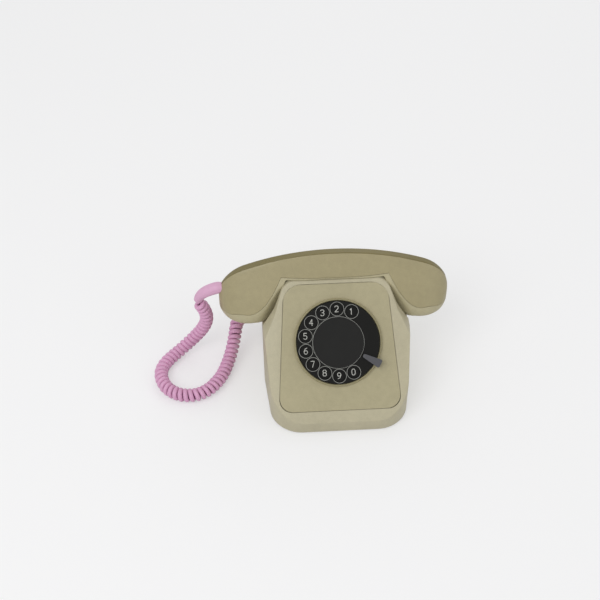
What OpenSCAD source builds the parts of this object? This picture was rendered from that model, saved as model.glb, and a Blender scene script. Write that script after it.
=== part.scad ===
// Compact rotary desk telephone with a sloping face and a curly handset cord.
// Millimetres, +Z up, front towards -Y. The origin is on the table, at the middle of the footprint.

/* [Housing] */
// Width of the housing across its side walls
body_w = 138; // [130:1:148]
// Depth of the housing from front wall to back wall
body_d = 163; // [155:1:176]
// Height of the cradle top above the table
top_h = 108; // [104:1:114]
// Height of the upright front wall
front_h = 14; // [12:1:17]
// Slope of the dial face, degrees from level
face_angle = 45; // [43:1:48]
// Height where the back wall bends forward
back_h = 44; // [34:1:54]
// Drop from the cradle top to where the side walls end and the shoulders begin
shoulder_drop = 38; // [34:1:42]
// Width of the cradle block at its top
neck_w = 96; // [94:1:102]
// Wall thickness of the housing
wall = 2.8; // [2.2:0.1:3.4]
// Width across the front wall, where the side walls draw in
front_w = 125; // [120:1:132]
// Plan radius of the two front corners
front_corner_r = 28; // [24:1:32]
// Plan radius of the two back corners
back_corner_r = 24; // [18:1:27]
// Gap between the housing's lower rim and the table
rim_gap = 1.2; // [0.8:0.1:2]
// Thickness of the base plate
base_t = 2; // [1.5:0.1:3]
// Radius of a rubber foot
foot_r = 7.5; // [5:0.5:9]
// Height of a rubber foot
foot_h = 2.8; // [2.4:0.1:4]

/* [Face panel] */
// Width of the panel at its lower edge
panel_w_low = 115; // [108:1:116]
// Width of the panel at its upper edge
panel_w_high = 97; // [90:1:98]
// Thickness of the panel
panel_t = 2.4; // [1.8:0.1:2.6]
// Margin from the slope's lower edge to the panel
panel_margin_low = 11; // [9:0.5:13]
// Margin from the slope's upper edge to the panel
panel_margin_high = 3.4; // [3:0.2:5]
// Width of the ledge that carries the panel
ledge_w = 4; // [3:0.5:5]
// Distance of the dial centre up the slope from its lower edge
dial_up = 74.6; // [71:0.2:78]

/* [Dial] */
// Outer radius of the raised ring round the dial
bezel_r = 41; // [40.5:0.1:42]
// Inner radius of that ring
bezel_in_r = 39; // [38.5:0.1:39.6]
// Height of the ring above the panel
bezel_h = 3.2; // [2.6:0.1:3.6]
// Radius of the finger wheel
wheel_r = 38.3; // [37.6:0.1:38.4]
// Thickness of the finger wheel
wheel_t = 2.2; // [1.8:0.1:2.6]
// Pitch radius of the finger holes
hole_pitch_r = 31.1; // [31:0.05:31.2]
// Radius of one finger hole
finger_hole_r = 6.2; // [5.6:0.1:6.3]
// Angle between neighbouring finger holes
hole_step = 25.6; // [25.4:0.1:26.2]
// Angle of the hole of the digit 1, from the panel's +X side
first_hole = 64.6; // [62:0.2:66]
// Angle of the finger stop
stop_angle = -29.6; // [-33:0.2:-27]
// Radius of the plain centre cap
cap_r = 24.1; // [22:0.1:24.2]
// Radius of the dial shaft
shaft_r = 3; // [2.5:0.1:3.5]
// Tooth module of the dial gears
gear_module = 0.75; // [0.7:0.05:0.8]
// Teeth on the main gear
main_teeth = 48; // [44:4:52]
// Teeth on the governor pinion
pinion_teeth = 12; // [11:1:14]

/* [Handset] */
// Length of the handset over both ears
handset_l = 219; // [213:1:225]
// Radius of an ear seen from below
ear_r = 29.5; // [28:0.5:30.5]
// Width of the grip between the ears
grip_w = 31; // [28:1:34]
// Radius of the arch along the handset's crest
crest_r = 230; // [215:5:260]
// Height of the crest above the cradle top
crest_up = 22.5; // [21:0.5:25]
// Slope of the handset's long sides, degrees from level
roof_angle = 56; // [52:1:58]
// Width of the dark strip along the crest
strip_w = 5.6; // [5:0.2:8]
// Depth of the groove that holds the strip
strip_t = 1.2; // [0.8:0.1:1.5]
// Wall thickness of the handset shells
shell_t = 2.4; // [1.8:0.1:2.8]
// Height of the parting line above the underside of the ears
parting_up = 11; // [9:0.5:14]
// Drop from the cradle top to the undersides of the ears
ear_drop = 41; // [39:0.5:42]

/* [Cradle] */
// Depth of the trough in the cradle top
trough_depth = 3; // [2.5:0.1:3.4]
// Distance from an end of the trough to the side of the cradle
trough_margin = 2; // [1.5:0.1:4]
// Width of the trough
trough_w = 22; // [20:1:24]
// Sideways clearance between the handset's belly and the trough
belly_gap = 2; // [1.5:0.1:2.5]
// Clearance between an ear and the floor of its pocket
pocket_floor_gap = 3; // [2:0.2:5]
// Clearance between an ear and the wall of its pocket
pocket_gap = 5; // [4:0.5:6]
// Radius of a cradle plunger
plunger_r = 3.8; // [3:0.1:4.5]
// Distance from a plunger to the side of the cradle
plunger_margin = 21; // [18:0.5:24]

/* [Ringer] */
// Radius of a gong
gong_r = 21; // [18:0.5:21.5]
// Height of a gong
gong_h = 9; // [7:0.5:11]
// Wall of a gong
gong_t = 1.2; // [0.9:0.1:1.6]
// Level of the gongs' rims
gong_z = 18; // [15:1:20]

/* [Handset cord] */
// Outer diameter of one curl
curl_d = 13; // [12:0.5:13.5]
// Diameter of the cord itself
wire_d = 2.6; // [2.2:0.1:2.8]
// Number of curls
curls = 64; // [50:1:66]

/* [Hidden] */

$fn = 64;

// Colours
beige = [0.62, 0.585, 0.45];
face_beige = [0.665, 0.635, 0.51];
light_beige = [0.70, 0.675, 0.57];
olive = [0.42, 0.39, 0.25];
dial_black = [0.06, 0.06, 0.055];
cap_grey = [0.16, 0.16, 0.16];
stop_grey = [0.28, 0.28, 0.30];
pink = [0.80, 0.59, 0.72];
steel = [0.70, 0.71, 0.73];
brass = [0.76, 0.62, 0.32];
dark_rubber = [0.12, 0.12, 0.12];
board_brown = [0.55, 0.40, 0.22];

// Small clearances shared by the fits
fit_gap = 0.1;
face_gap = 0.2;
rest_gap = 0.3;
bite = 0.5;

// Places on the sloping face
slope_rise = top_h - front_h;
slope_l = slope_rise / sin(face_angle);
slope_top_y = -body_d / 2 + slope_rise / tan(face_angle);
dial_y = -body_d / 2 + dial_up * cos(face_angle);
dial_z = front_h + dial_up * sin(face_angle);
panel_low = -dial_up + panel_margin_low;
panel_high = slope_l - dial_up - panel_margin_high;
slope_wall = panel_t + 2.2;
shoulder_h = top_h - shoulder_drop;

// Places in the cradle
cradle_y = slope_top_y + 15;
cradle_back_y = cradle_y + 20;
top_wall = trough_depth + wall;
trough_z = top_h - trough_depth;
ceiling_z = top_h - top_wall;

// Places on the handset
ear_x = handset_l / 2 - ear_r;
ear_bottom = top_h - ear_drop;
crest_z = top_h + crest_up;
grip_bottom = top_h + rest_gap;
parting_z = ear_bottom + parting_up;
pocket_r = ear_r + pocket_gap;
pocket_h = ear_bottom - pocket_floor_gap;
cradle_half = ear_x - pocket_r;
trough_l = 2 * (cradle_half - trough_margin);
plunger_x = cradle_half - plunger_margin;

// ---------- shared shapes ----------

function unit(v) = v / norm(v);

// One corner of an outline, [x, y, radius], turned into an arc of short steps
function corner(a, p, b, steps) =
    let (u = unit([a.x - p.x, a.y - p.y]),
         v = unit([b.x - p.x, b.y - p.y]),
         half = acos(u * v) / 2,
         reach = p.z / tan(half),
         start = [p.x, p.y] + u * reach,
         end = [p.x, p.y] + v * reach,
         mid = [p.x, p.y] + unit(u + v) * p.z / sin(half),
         from = atan2(start.y - mid.y, start.x - mid.x),
         turn = atan2(end.y - mid.y, end.x - mid.x) - from,
         sweep = turn > 180 ? turn - 360 : turn < -180 ? turn + 360 : turn)
    p.z <= 0 ? [[p.x, p.y]]
             : [for (i = [0:steps]) mid + p.z * [cos(from + sweep * i / steps),
                                                 sin(from + sweep * i / steps)]];

// An outline with its corners rounded
function rounded(points, steps = 8) =
    [for (i = [0:len(points) - 1])
        each corner(points[(i + len(points) - 1) % len(points)], points[i],
                    points[(i + 1) % len(points)], steps)];

// Mirrors the right half of an outline, given from bottom to top, to its left half
function both_sides(half) =
    concat(half, [for (i = [len(half) - 1:-1:0]) [-half[i].x, half[i].y, half[i].z]]);

module slot(length, width) {
    square([length - width, width], center = true);
    for (side = [-1, 1])
        translate([side * (length - width) / 2, 0]) circle(d = width);
}

module tube(r_out, r_in, h) {
    difference() {
        cylinder(r = r_out, h = h);
        translate([0, 0, -1]) cylinder(r = r_in, h = h + 2);
    }
}

// Puts children on the sloping face: origin at the dial centre, +Z out of the face, +Y up the slope
module at_face() {
    translate([0, dial_y, dial_z]) rotate([face_angle, 0, 0]) children();
}

// Extrudes a front view, drawn as [x, z], through the depth
module front_prism(depth, mid_y = 0) {
    translate([0, mid_y + depth / 2, 0]) rotate([90, 0, 0]) linear_extrude(depth) children();
}

// Extrudes a side view, drawn as [y, z], across the width
module side_prism(width) {
    translate([-width / 2, 0, 0]) rotate([90, 0, 90]) linear_extrude(width) children();
}

// ---------- housing ----------

// Side view of the housing, with its faces moved inwards
module side_view(inset, slope_inset, top_inset, round_edges) {
    front = -body_d / 2 + inset;
    back = body_d / 2 - inset;
    top = top_h - top_inset;
    slope_shift = slope_inset / cos(face_angle);
    back_run = body_d / 2 - cradle_back_y;
    back_drop = top_h - back_h;
    back_shift = inset * norm([back_run, back_drop]) / back_drop;
    slope_y = slope_top_y - top_inset / tan(face_angle) + slope_inset / sin(face_angle);
    back_y = cradle_back_y - back_shift + top_inset * back_run / back_drop;
    polygon(rounded([
        [front, rim_gap - inset, 0],
        [back, rim_gap - inset, 0],
        [back, back_h + (inset - back_shift) * back_drop / back_run, 24 * round_edges],
        [back_y, top, 8 * round_edges],
        [slope_y, top, 3 * round_edges],
        [front, front_h + inset * tan(face_angle) - slope_shift, 8 * round_edges]]));
}

// The neck widens from the cradle top down to where it turns out into the shoulders
neck_drop = 22;
neck_flare = 9.5;

// Front view of the housing: upright walls, sloping shoulders and the neck
module front_view(inset) {
    neck_z = top_h - neck_drop;
    lean = norm([neck_flare, neck_drop]) / neck_drop;
    polygon(rounded(both_sides([
        [body_w / 2 - inset, rim_gap - inset, 0],
        [body_w / 2 - inset, shoulder_h - inset * 0.33, 12 - inset],
        [neck_w / 2 + neck_flare - inset * 0.87, neck_z - inset * 0.5, 24 + inset],
        [neck_w / 2 - inset * lean, top_h, 13 - inset]])));
}

// Level back from which the side walls run straight
draw_in_y = -14;

module plan_view(inset) {
    w = body_w / 2 - inset;
    d = body_d / 2 - inset;
    front = front_w / 2 - inset;
    polygon(rounded([
        [-front, -d, front_corner_r - inset],
        [front, -d, front_corner_r - inset],
        [w, draw_in_y, 90 - inset],
        [w, d, back_corner_r - inset],
        [-w, d, back_corner_r - inset],
        [-w, draw_in_y, 90 - inset]], 12));
}

module body_form(inset, slope_inset, top_inset, round_edges) {
    intersection() {
        side_prism(body_w + 20) side_view(inset, slope_inset, top_inset, round_edges);
        front_prism(body_d + 20) front_view(inset);
        translate([0, 0, -5]) linear_extrude(top_h + 20) plan_view(inset);
    }
}

// Space that an ear hangs in: round at the front, open to the back
module ear_pockets(grow) {
    for (side = [-1, 1])
        translate([side * ear_x, cradle_y, pocket_h - grow]) {
            cylinder(r = pocket_r + grow, h = top_h);
            translate([-pocket_r - grow, 0, 0])
                cube([2 * (pocket_r + grow), body_d, top_h]);
        }
}

boss_r = 4.5;
boss_top = 26;
boss_x = body_w / 2 - wall - boss_r + bite;
boss_back_y = body_d / 2 - 40;
boss_places = [[-boss_x, draw_in_y], [boss_x, draw_in_y], [-boss_x, boss_back_y],
               [boss_x, boss_back_y]];
base_z = foot_h;
screw_r = 1.5;

gland_y = body_d / 2 - 30;
gland_z = 27;
gland_r = 4.6;
inlet_x = 30;
inlet_z = 13;
inlet_r = 3.1;
inlet_body_r = 5;

// Outline of the face panel, drawn in the plane of the slope
module panel_outline(inset) {
    polygon(rounded([
        [-panel_w_low / 2 + inset, panel_low + inset, 13 - inset],
        [panel_w_low / 2 - inset, panel_low + inset, 13 - inset],
        [panel_w_high / 2 - inset, panel_high - inset, 16 - inset],
        [-panel_w_high / 2 + inset, panel_high - inset, 16 - inset]]));
}

module housing() {
    color(light_beige) {
        difference() {
            body_form(0, 0, 0, 1);
            ear_pockets(0);
            difference() {
                body_form(wall, slope_wall, top_wall, 0);
                ear_pockets(wall);
            }
            // recess and window for the face panel
            at_face() {
                translate([0, 0, -panel_t])
                    linear_extrude(10) panel_outline(0);
                translate([0, 0, -slope_wall - bite])
                    linear_extrude(slope_wall + 1) panel_outline(ledge_w);
            }
            // trough that the handset's belly lies in, and the plunger holes in its floor
            translate([0, cradle_y, trough_z]) linear_extrude(10) slot(trough_l, trough_w);
            for (side = [-1, 1])
                translate([side * plunger_x, cradle_y, ceiling_z - 1])
                    cylinder(r = plunger_r + rest_gap, h = top_wall + 2);
            // cord holes
            translate([-body_w / 2 - 1, gland_y, gland_z]) rotate([0, 90, 0])
                cylinder(r = gland_r + fit_gap, h = wall + 2);
            translate([inlet_x, body_d / 2 + 1, inlet_z]) rotate([90, 0, 0])
                cylinder(r = inlet_body_r + fit_gap, h = wall + 2);
        }
        for (place = boss_places)
            translate([place.x, place.y, base_z + base_t])
                tube(boss_r, screw_r + 0.05, boss_top - base_z - base_t);
    }
}

module face_panel() {
    color(face_beige) at_face() difference() {
        translate([0, 0, -panel_t]) linear_extrude(panel_t) panel_outline(face_gap);
        translate([0, 0, -5]) cylinder(r = dial_hole_r, h = 10);
        dial_screw_places() translate([0, 0, -panel_t - 1]) cylinder(r = dial_screw_r + 0.05, h = 2.6);
        rotate(stop_angle) translate([stop_foot_r, 0, -panel_t / 2])
            cylinder(r = stop_peg_r + fit_gap, h = 5);
    }
}

// ---------- base ----------

module base_plate() {
    color(steel) difference() {
        translate([0, 0, base_z]) linear_extrude(base_t) plan_view(wall + rest_gap);
        for (place = boss_places)
            translate([place.x, place.y, base_z - 1]) cylinder(r = screw_r + 0.4, h = base_t + 2);
    }
}

foot_x = body_w / 2 - 19;
foot_y = body_d / 2 - 24;

module rubber_feet() {
    color(dark_rubber)
        for (x = [-foot_x, foot_x], y = [-foot_y, foot_y])
            translate([x, y, 0]) {
                cylinder(r1 = foot_r - 0.8, r2 = foot_r, h = 1);
                translate([0, 0, 1]) cylinder(r = foot_r, h = base_z - 1);
            }
}

module base_screws() {
    color(steel)
        for (place = boss_places)
            translate([place.x, place.y, base_z]) {
                translate([0, 0, -1.5]) cylinder(r = 3.2, h = 1.5);
                cylinder(r = screw_r, h = 16);
            }
}

module cord_gland() {
    color(dark_rubber) translate([-body_w / 2, gland_y, gland_z]) rotate([0, 90, 0]) {
        translate([0, 0, -1.6]) cylinder(r = 6.5, h = 1.6);
        cylinder(r = gland_r, h = wall + 1);
        translate([0, 0, wall]) cylinder(r = 6, h = 1.5);
    }
}

module line_cord_inlet() {
    color(dark_rubber) translate([inlet_x, body_d / 2, inlet_z]) rotate([90, 0, 0])
        difference() {
            union() {
                cylinder(r = inlet_body_r, h = wall + 1);
                translate([0, 0, wall]) cylinder(r = 6.5, h = 1.5);
            }
            translate([0, 0, -1]) cylinder(r = inlet_r, h = wall + 5);
        }
}

// ---------- dial ----------

plate_z = 0.8;
plate_t = 1.2;
wheel_z = plate_z + plate_t + 1.4;
wheel_top = wheel_z + wheel_t;
cap_t = 1.6;
wheel_edge = 0.4;
lip_w = 0.45;
lip_h = 0.4;
dial_hole_r = 36;
frame_r = 40;
frame_t = 1.6;
pillar_ring = 24;
pillar_r = 1.8;
bridge_z = -24;
bridge_t = 1.6;
bush_r = 6;
gear_z = -8;
gear_t = 1.8;
spring_h = 2.2;
spring_z = gear_z - bite - spring_h;
pulse_z = -19;
pulse_t = 1.5;
dial_screw_r = 1.2;
dial_screw_ring = 37.8;
wheel_screw_r = 1.4;
wheel_screw_l = 4;
governor_x = -gear_module * (main_teeth + pinion_teeth) / 2;
cup_r = 8.5;
cup_z = -20;
cup_h = 9;
stop_foot_r = 42.6;
stop_peg_r = 1.1;

module dial_screw_places() {
    for (angle = [90, 210, 330])
        rotate(angle) translate([dial_screw_ring, 0, 0]) children();
}

module dial_bezel() {
    color(face_beige) at_face() rotate_extrude($fn = 96)
        polygon([
            [dial_hole_r - 1, -panel_t], [dial_hole_r - fit_gap, -panel_t],
            [dial_hole_r - fit_gap, 0], [bezel_r, 0], [bezel_r, bezel_h - 1],
            [bezel_r - 0.7, bezel_h], [bezel_in_r + 0.5, bezel_h], [bezel_in_r, bezel_h - 0.5],
            [bezel_in_r, plate_z], [dial_hole_r - 1, plate_z]]);
}

module number_plate() {
    color(dial_black) at_face() translate([0, 0, plate_z]) difference() {
        cylinder(r = bezel_in_r - face_gap, h = plate_t, $fn = 96);
        translate([0, 0, -1]) cylinder(r = bush_r - 1, h = plate_t + 2);
    }
}

// Strokes of the ten digits on a grid 4 wide and 6 high, as chains of points
digit_strokes = [
    [[[1, 0], [0, 1.5], [0, 4.5], [1, 6], [3, 6], [4, 4.5], [4, 1.5], [3, 0], [1, 0]]],
    [[[1, 4.8], [2.2, 6], [2.2, 0]]],
    [[[0, 4.8], [0.8, 6], [3.2, 6], [4, 4.8], [4, 3.6], [0, 0], [4, 0]]],
    [[[0, 5.2], [1, 6], [3, 6], [4, 5], [4, 4], [3, 3.1], [1.6, 3.1]],
     [[3, 3.1], [4, 2.2], [4, 1], [3, 0], [1, 0], [0, 0.8]]],
    [[[3, 0], [3, 6], [0, 2], [4, 2]]],
    [[[4, 6], [0.5, 6], [0.3, 3.4], [2.6, 3.6], [4, 2.6], [4, 1.1], [3, 0], [1, 0], [0, 0.8]]],
    [[[3.4, 6], [1.2, 5], [0, 2.8], [0, 1.2], [1, 0], [3, 0], [4, 1.2], [4, 2.2], [3, 3.3],
      [1, 3.3], [0, 2.2]]],
    [[[0, 6], [4, 6], [1.6, 0]]],
    [[[1, 3.2], [0, 4.2], [0, 5], [1, 6], [3, 6], [4, 5], [4, 4.2], [3, 3.2], [1, 3.2],
      [0, 2.2], [0, 1], [1, 0], [3, 0], [4, 1], [4, 2.2], [3, 3.2]]],
    [[[4, 3.8], [3, 2.7], [1, 2.7], [0, 3.8], [0, 4.8], [1, 6], [3, 6], [4, 4.8], [4, 3.2],
      [2.8, 1], [0.6, 0]]]];
digit_cell = [0.78, 0.92];
digit_line = 0.62;

module digit(value) {
    function place(p) = [(p.x - 2) * digit_cell.x, (p.y - 3) * digit_cell.y];
    linear_extrude(0.15)
        for (chain = digit_strokes[value], i = [0:len(chain) - 2])
            hull() {
                translate(place(chain[i])) circle(d = digit_line, $fn = 8);
                translate(place(chain[i + 1])) circle(d = digit_line, $fn = 8);
            }
}

module dial_digits() {
    color("lightgray") at_face() translate([0, 0, plate_z + plate_t])
        for (i = [0:9]) {
            angle = first_hole + i * hole_step;
            translate(hole_pitch_r * [cos(angle), sin(angle)]) digit((i + 1) % 10);
        }
}

module finger_wheel() {
    color(dial_black) at_face() difference() {
        union() {
            translate([0, 0, wheel_z]) rotate_extrude($fn = 96)
                polygon([[0, 0], [wheel_r - wheel_edge, 0], [wheel_r, wheel_edge],
                         [wheel_r, wheel_t - wheel_edge], [wheel_r - wheel_edge, wheel_t],
                         [0, wheel_t]]);
            // raised lips round the finger holes
            for (i = [0:9])
                rotate(first_hole + i * hole_step)
                    translate([hole_pitch_r, 0, wheel_z + 1])
                        cylinder(r = finger_hole_r + lip_w, h = wheel_t - 1 + lip_h);
            // hub
            translate([0, 0, plate_z + plate_t - 0.6]) cylinder(r = 4.4, h = 2.5);
        }
        for (i = [0:9])
            rotate(first_hole + i * hole_step)
                translate([hole_pitch_r, 0, wheel_z - 1]) cylinder(r = finger_hole_r, h = 8);
        translate([0, 0, -1]) cylinder(r = shaft_r, h = 20);
    }
}

module dial_centre_cap() {
    color(cap_grey) at_face() translate([0, 0, wheel_top]) difference() {
        rotate_extrude($fn = 96)
            polygon([[0, 0], [cap_r, 0], [cap_r, cap_t - 0.5], [cap_r - 0.5, cap_t],
                     [cap_r - 1.4, cap_t], [cap_r - 1.6, cap_t - 0.3], [0, cap_t - 0.3]]);
        translate([0, 0, -1]) cylinder(r = 5, h = 1.9);
    }
}

module finger_stop() {
    tip_r = cap_r + 1.7;
    outer_r = 44;
    color(stop_grey) at_face() rotate(stop_angle) {
        difference() {
            translate([0, 0, wheel_top + 1.4]) linear_extrude(1.8)
                polygon(rounded([
                    [tip_r, -1.6, 1.2], [outer_r, -4.2, 1.5], [outer_r, 4.2, 1.5],
                    [tip_r, 1.6, 1.2]]));
            translate([tip_r - 5, -8, wheel_top + 2.6]) rotate([0, -5, 0]) cube([14, 16, 4]);
        }
        // foot outside the ring, with its peg in the panel
        linear_extrude(wheel_top + 2)
            polygon(rounded([
                [bezel_r + face_gap, -3.6, 0.8], [outer_r, -3.6, 0.8], [outer_r, 3.6, 0.8],
                [bezel_r + face_gap, 3.6, 0.8]]));
        translate([stop_foot_r, 0, -panel_t / 2]) cylinder(r = stop_peg_r, h = 2);
    }
}

module dial_shaft() {
    color(steel) at_face() difference() {
        translate([0, 0, bridge_z - 0.8]) cylinder(r = shaft_r, h = wheel_top - bridge_z + 0.8);
        translate([0, 0, wheel_top - wheel_screw_l]) cylinder(r = wheel_screw_r + 0.05, h = 10);
    }
}

module wheel_screw() {
    color(steel) at_face() translate([0, 0, wheel_top]) difference() {
        union() {
            cylinder(r = 4.4, h = 0.8);
            translate([0, 0, -wheel_screw_l + face_gap])
                cylinder(r = wheel_screw_r, h = wheel_screw_l);
        }
        translate([-5, -0.4, 0.4]) cube([10, 0.8, 1]);
    }
}

module dial_frame() {
    color(steel) at_face() difference() {
        union() {
            translate([0, 0, -panel_t - frame_t]) cylinder(r = frame_r, h = frame_t);
            translate([0, 0, -panel_t - 0.1]) cylinder(r = bush_r, h = panel_t + 0.1 + plate_z);
            translate([0, 0, bridge_z]) cylinder(r = 26.5, h = bridge_t);
            for (angle = [20, 100, 250, 320])
                rotate(angle) translate([pillar_ring, 0, bridge_z])
                    cylinder(r = pillar_r, h = -bridge_z - panel_t);
        }
        translate([0, 0, bridge_z - 1]) cylinder(r = shaft_r + 0.06, h = 40);
        dial_screw_places() translate([0, 0, -10]) cylinder(r = dial_screw_r + 0.15, h = 10);
        translate([governor_x, 0, bridge_z - 1]) cylinder(r = 1.06, h = 40);
    }
}

module dial_screws() {
    color(steel) at_face() dial_screw_places() translate([0, 0, -panel_t - frame_t]) {
        translate([0, 0, -1.2]) cylinder(r = 2, h = 1.2);
        cylinder(r = dial_screw_r, h = frame_t + 1.4);
    }
}

// Gear with plain tapered teeth, one tooth centred on +X
module gear(teeth, thickness) {
    pitch_r = gear_module * teeth / 2;
    step = 360 / teeth;
    linear_extrude(thickness)
        polygon([for (i = [0:teeth - 1], k = [[-0.30, -1.15], [-0.13, 0.75], [0.13, 0.75], [0.30, -1.15]])
            (pitch_r + k[1] * gear_module) * [cos((i + k[0]) * step), sin((i + k[0]) * step)]]);
}

module dial_main_gear() {
    color(brass) at_face() translate([0, 0, gear_z]) difference() {
        union() {
            gear(main_teeth, gear_t);
            cylinder(r = 5, h = gear_t + 1.2);
        }
        translate([0, 0, -1]) cylinder(r = shaft_r, h = 6);
    }
}

module governor() {
    color(brass) at_face() translate([governor_x, 0, 0]) {
        translate([0, 0, bridge_z + 0.2]) cylinder(r = 1, h = -panel_t - frame_t - bridge_z + 1.2);
        translate([0, 0, gear_z]) rotate(180 / pinion_teeth) gear(pinion_teeth, gear_t);
        // cross arm and its two weights
        translate([-6, -1, cup_z + 3]) cube([12, 2, 3]);
        for (side = [-1, 1])
            translate([side * 5.4, 0, cup_z + 2]) cylinder(r = 1.8, h = 5);
    }
}

module governor_cup() {
    color(steel) at_face() translate([governor_x, 0, cup_z]) difference() {
        union() {
            cylinder(r = cup_r, h = cup_h);
            translate([-4, -4, bridge_z + bridge_t - cup_z]) cube([8, 8, 3]);
        }
        translate([0, 0, 1]) cylinder(r = cup_r - 0.8, h = cup_h);
        translate([0, 0, -5]) cylinder(r = 1.4, h = 10);
    }
}

module pulse_wheel() {
    color(brass) at_face() translate([0, 0, pulse_z]) difference() {
        cylinder(r = 12, h = pulse_t);
        for (i = [0:9])
            rotate(first_hole + i * hole_step) translate([12.4, 0, -1]) cylinder(r = 1.4, h = 5);
        translate([0, 0, -1]) cylinder(r = shaft_r, h = 5);
    }
}

module pulse_contacts() {
    color(brass) at_face() rotate(-29) translate([14.4, 0, bridge_z + bridge_t]) {
        translate([-1.5, -9, 0]) cube([6, 7, 9]);
        for (k = [0:2])
            translate([k * 1.7 - 0.6, -8, 4]) cube([0.4, 17, 3.5]);
    }
}

// Flat spiral from the shaft to a pillar
module dial_return_spring() {
    turns = 4;
    steps = 24 * turns;
    strip = 0.5;
    first_r = shaft_r + 0.4;
    last_r = pillar_ring - pillar_r - strip + 0.05;
    function place(i, out) =
        let (r = first_r + (last_r - first_r) * i / steps + out, a = 20 + 360 * turns * i / steps)
        r * [cos(a), sin(a)];
    color(steel) at_face() translate([0, 0, spring_z]) linear_extrude(spring_h)
        polygon(concat([for (i = [0:steps]) place(i, 0)], [for (i = [steps:-1:0]) place(i, strip)]));
}

// ---------- hook switch ----------

// Inner face of the back wall at a height
function back_wall_y(z) =
    let (run = body_d / 2 - cradle_back_y, drop = top_h - back_h)
    cradle_back_y + run * (top_h - z) / drop - wall * norm([run, drop]) / drop;

plunger_travel = 6;
flange_top = ceiling_z - plunger_travel - rest_gap;
lever_top = ceiling_z - 12.2;
lever_t = 2;
pivot_z = lever_top - lever_t / 2;
shelf_z = lever_top - 10;
shelf_t = 1.5;
shelf_back_y = back_wall_y(shelf_z) - 5.4;
pivot_y = shelf_back_y - 6.4;
lever_arm = pivot_y - cradle_y;
pin_r = 1.5;
leg_x = plunger_x + 10;

module cradle_plunger(side) {
    color(cap_grey) translate([side * plunger_x, cradle_y, 0]) {
        translate([0, 0, lever_top + rest_gap]) cylinder(r = 2, h = flange_top - lever_top - 1);
        translate([0, 0, flange_top - 1.8]) cylinder(r = 5.6, h = 1.8);
        translate([0, 0, flange_top - 0.5]) cylinder(r = plunger_r, h = trough_z + 0.3 - flange_top);
        translate([0, 0, trough_z - 0.2]) cylinder(r1 = plunger_r, r2 = plunger_r - 0.5, h = 0.5);
    }
}

module cradle_plunger_left() {
    cradle_plunger(-1);
}

module cradle_plunger_right() {
    cradle_plunger(1);
}

module hook_lever() {
    bar_x = leg_x - 2;
    color(steel) difference() {
        union() {
            translate([-bar_x, cradle_y - 4, lever_top - lever_t]) cube([2 * bar_x, 8, lever_t]);
            for (side = [-1, 1])
                translate([side * (bar_x - 1.5) - 1.5, cradle_y, pivot_z - 1])
                    cube([3, lever_arm, lever_t]);
            for (side = [-1, 1])
                translate([side * (bar_x - 1.5) - 1.5, pivot_y, pivot_z]) rotate([0, 90, 0])
                    cylinder(r = 3, h = 3);
        }
        translate([-60, pivot_y, pivot_z]) rotate([0, 90, 0]) cylinder(r = pin_r + 0.05, h = 120);
    }
}

module hook_bracket() {
    color(steel) difference() {
        union() {
            translate([-leg_x, cradle_y - 10, shelf_z])
                cube([2 * leg_x, shelf_back_y - cradle_y + 10, shelf_t]);
            for (side = [-1, 1])
                translate([side * (leg_x - 0.8), 0, 0]) side_prism(1.6)
                    polygon([[cradle_y - 10, shelf_z], [shelf_back_y, shelf_z],
                             [pivot_y + 4, pivot_z + 3.5], [pivot_y - 6, pivot_z + 5],
                             [cradle_y + 11, ceiling_z], [cradle_y - 10, ceiling_z]]);
        }
        translate([-60, pivot_y, pivot_z]) rotate([0, 90, 0]) cylinder(r = pin_r, h = 120);
    }
}

module hook_pivot_pin() {
    color(steel) translate([-leg_x, pivot_y, pivot_z]) rotate([0, 90, 0])
        cylinder(r = pin_r, h = 2 * leg_x);
}

module hook_spring() {
    color(steel) translate([plunger_x - 10, cradle_y, shelf_z + shelf_t])
        tube(3.4, 2.6, lever_top - lever_t - shelf_z - shelf_t - 0.1);
}

module hook_contacts() {
    color(board_brown) translate([-10, cradle_y, shelf_z + shelf_t]) {
        translate([-5, 8, 0]) cube([10, 7, 4.6]);
        for (level = [1.2, 2.8, 4.2])
            translate([-2, -6, level]) cube([4, 20, 0.3]);
    }
}

// ---------- ringer ----------

gong_x = gong_r + 1.5;
gong_y = body_d / 2 - wall - gong_r - 5.7;
ringer_z = base_z + base_t;
post_r = 2.5;
clapper_y = gong_y - 28;
coil_y = gong_y - 40;
coil_l = 36;
clapper_z = gong_z + gong_h + 3;
hammer_y = gong_y + 14;

module ringer_frame() {
    color(steel) {
        translate([-gong_x - 5, coil_y - 8, ringer_z])
            cube([2 * gong_x + 10, gong_y - coil_y + 14, 1.6]);
        for (side = [-1, 1])
            translate([side * gong_x, gong_y, ringer_z])
                cylinder(r = post_r, h = gong_z + gong_h - ringer_z - gong_t);
        // cheeks that carry the coil, and the clapper's post
        for (side = [-1, 1])
            translate([side * (coil_l / 2 + 1) - 1, coil_y - 7, ringer_z]) cube([2, 14, 18]);
        translate([0, clapper_y, ringer_z]) cylinder(r = 3, h = clapper_z - ringer_z);
        translate([0, clapper_y, ringer_z]) cylinder(r = 1.4, h = clapper_z - ringer_z + 4);
    }
}

module ringer_coil() {
    color([0.60, 0.25, 0.12]) translate([-coil_l / 2, coil_y, ringer_z + 10.5]) rotate([0, 90, 0]) {
        cylinder(r = 7, h = coil_l);
        for (end = [0, coil_l - 2])
            translate([0, 0, end]) cylinder(r = 8.5, h = 2);
    }
}

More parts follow.
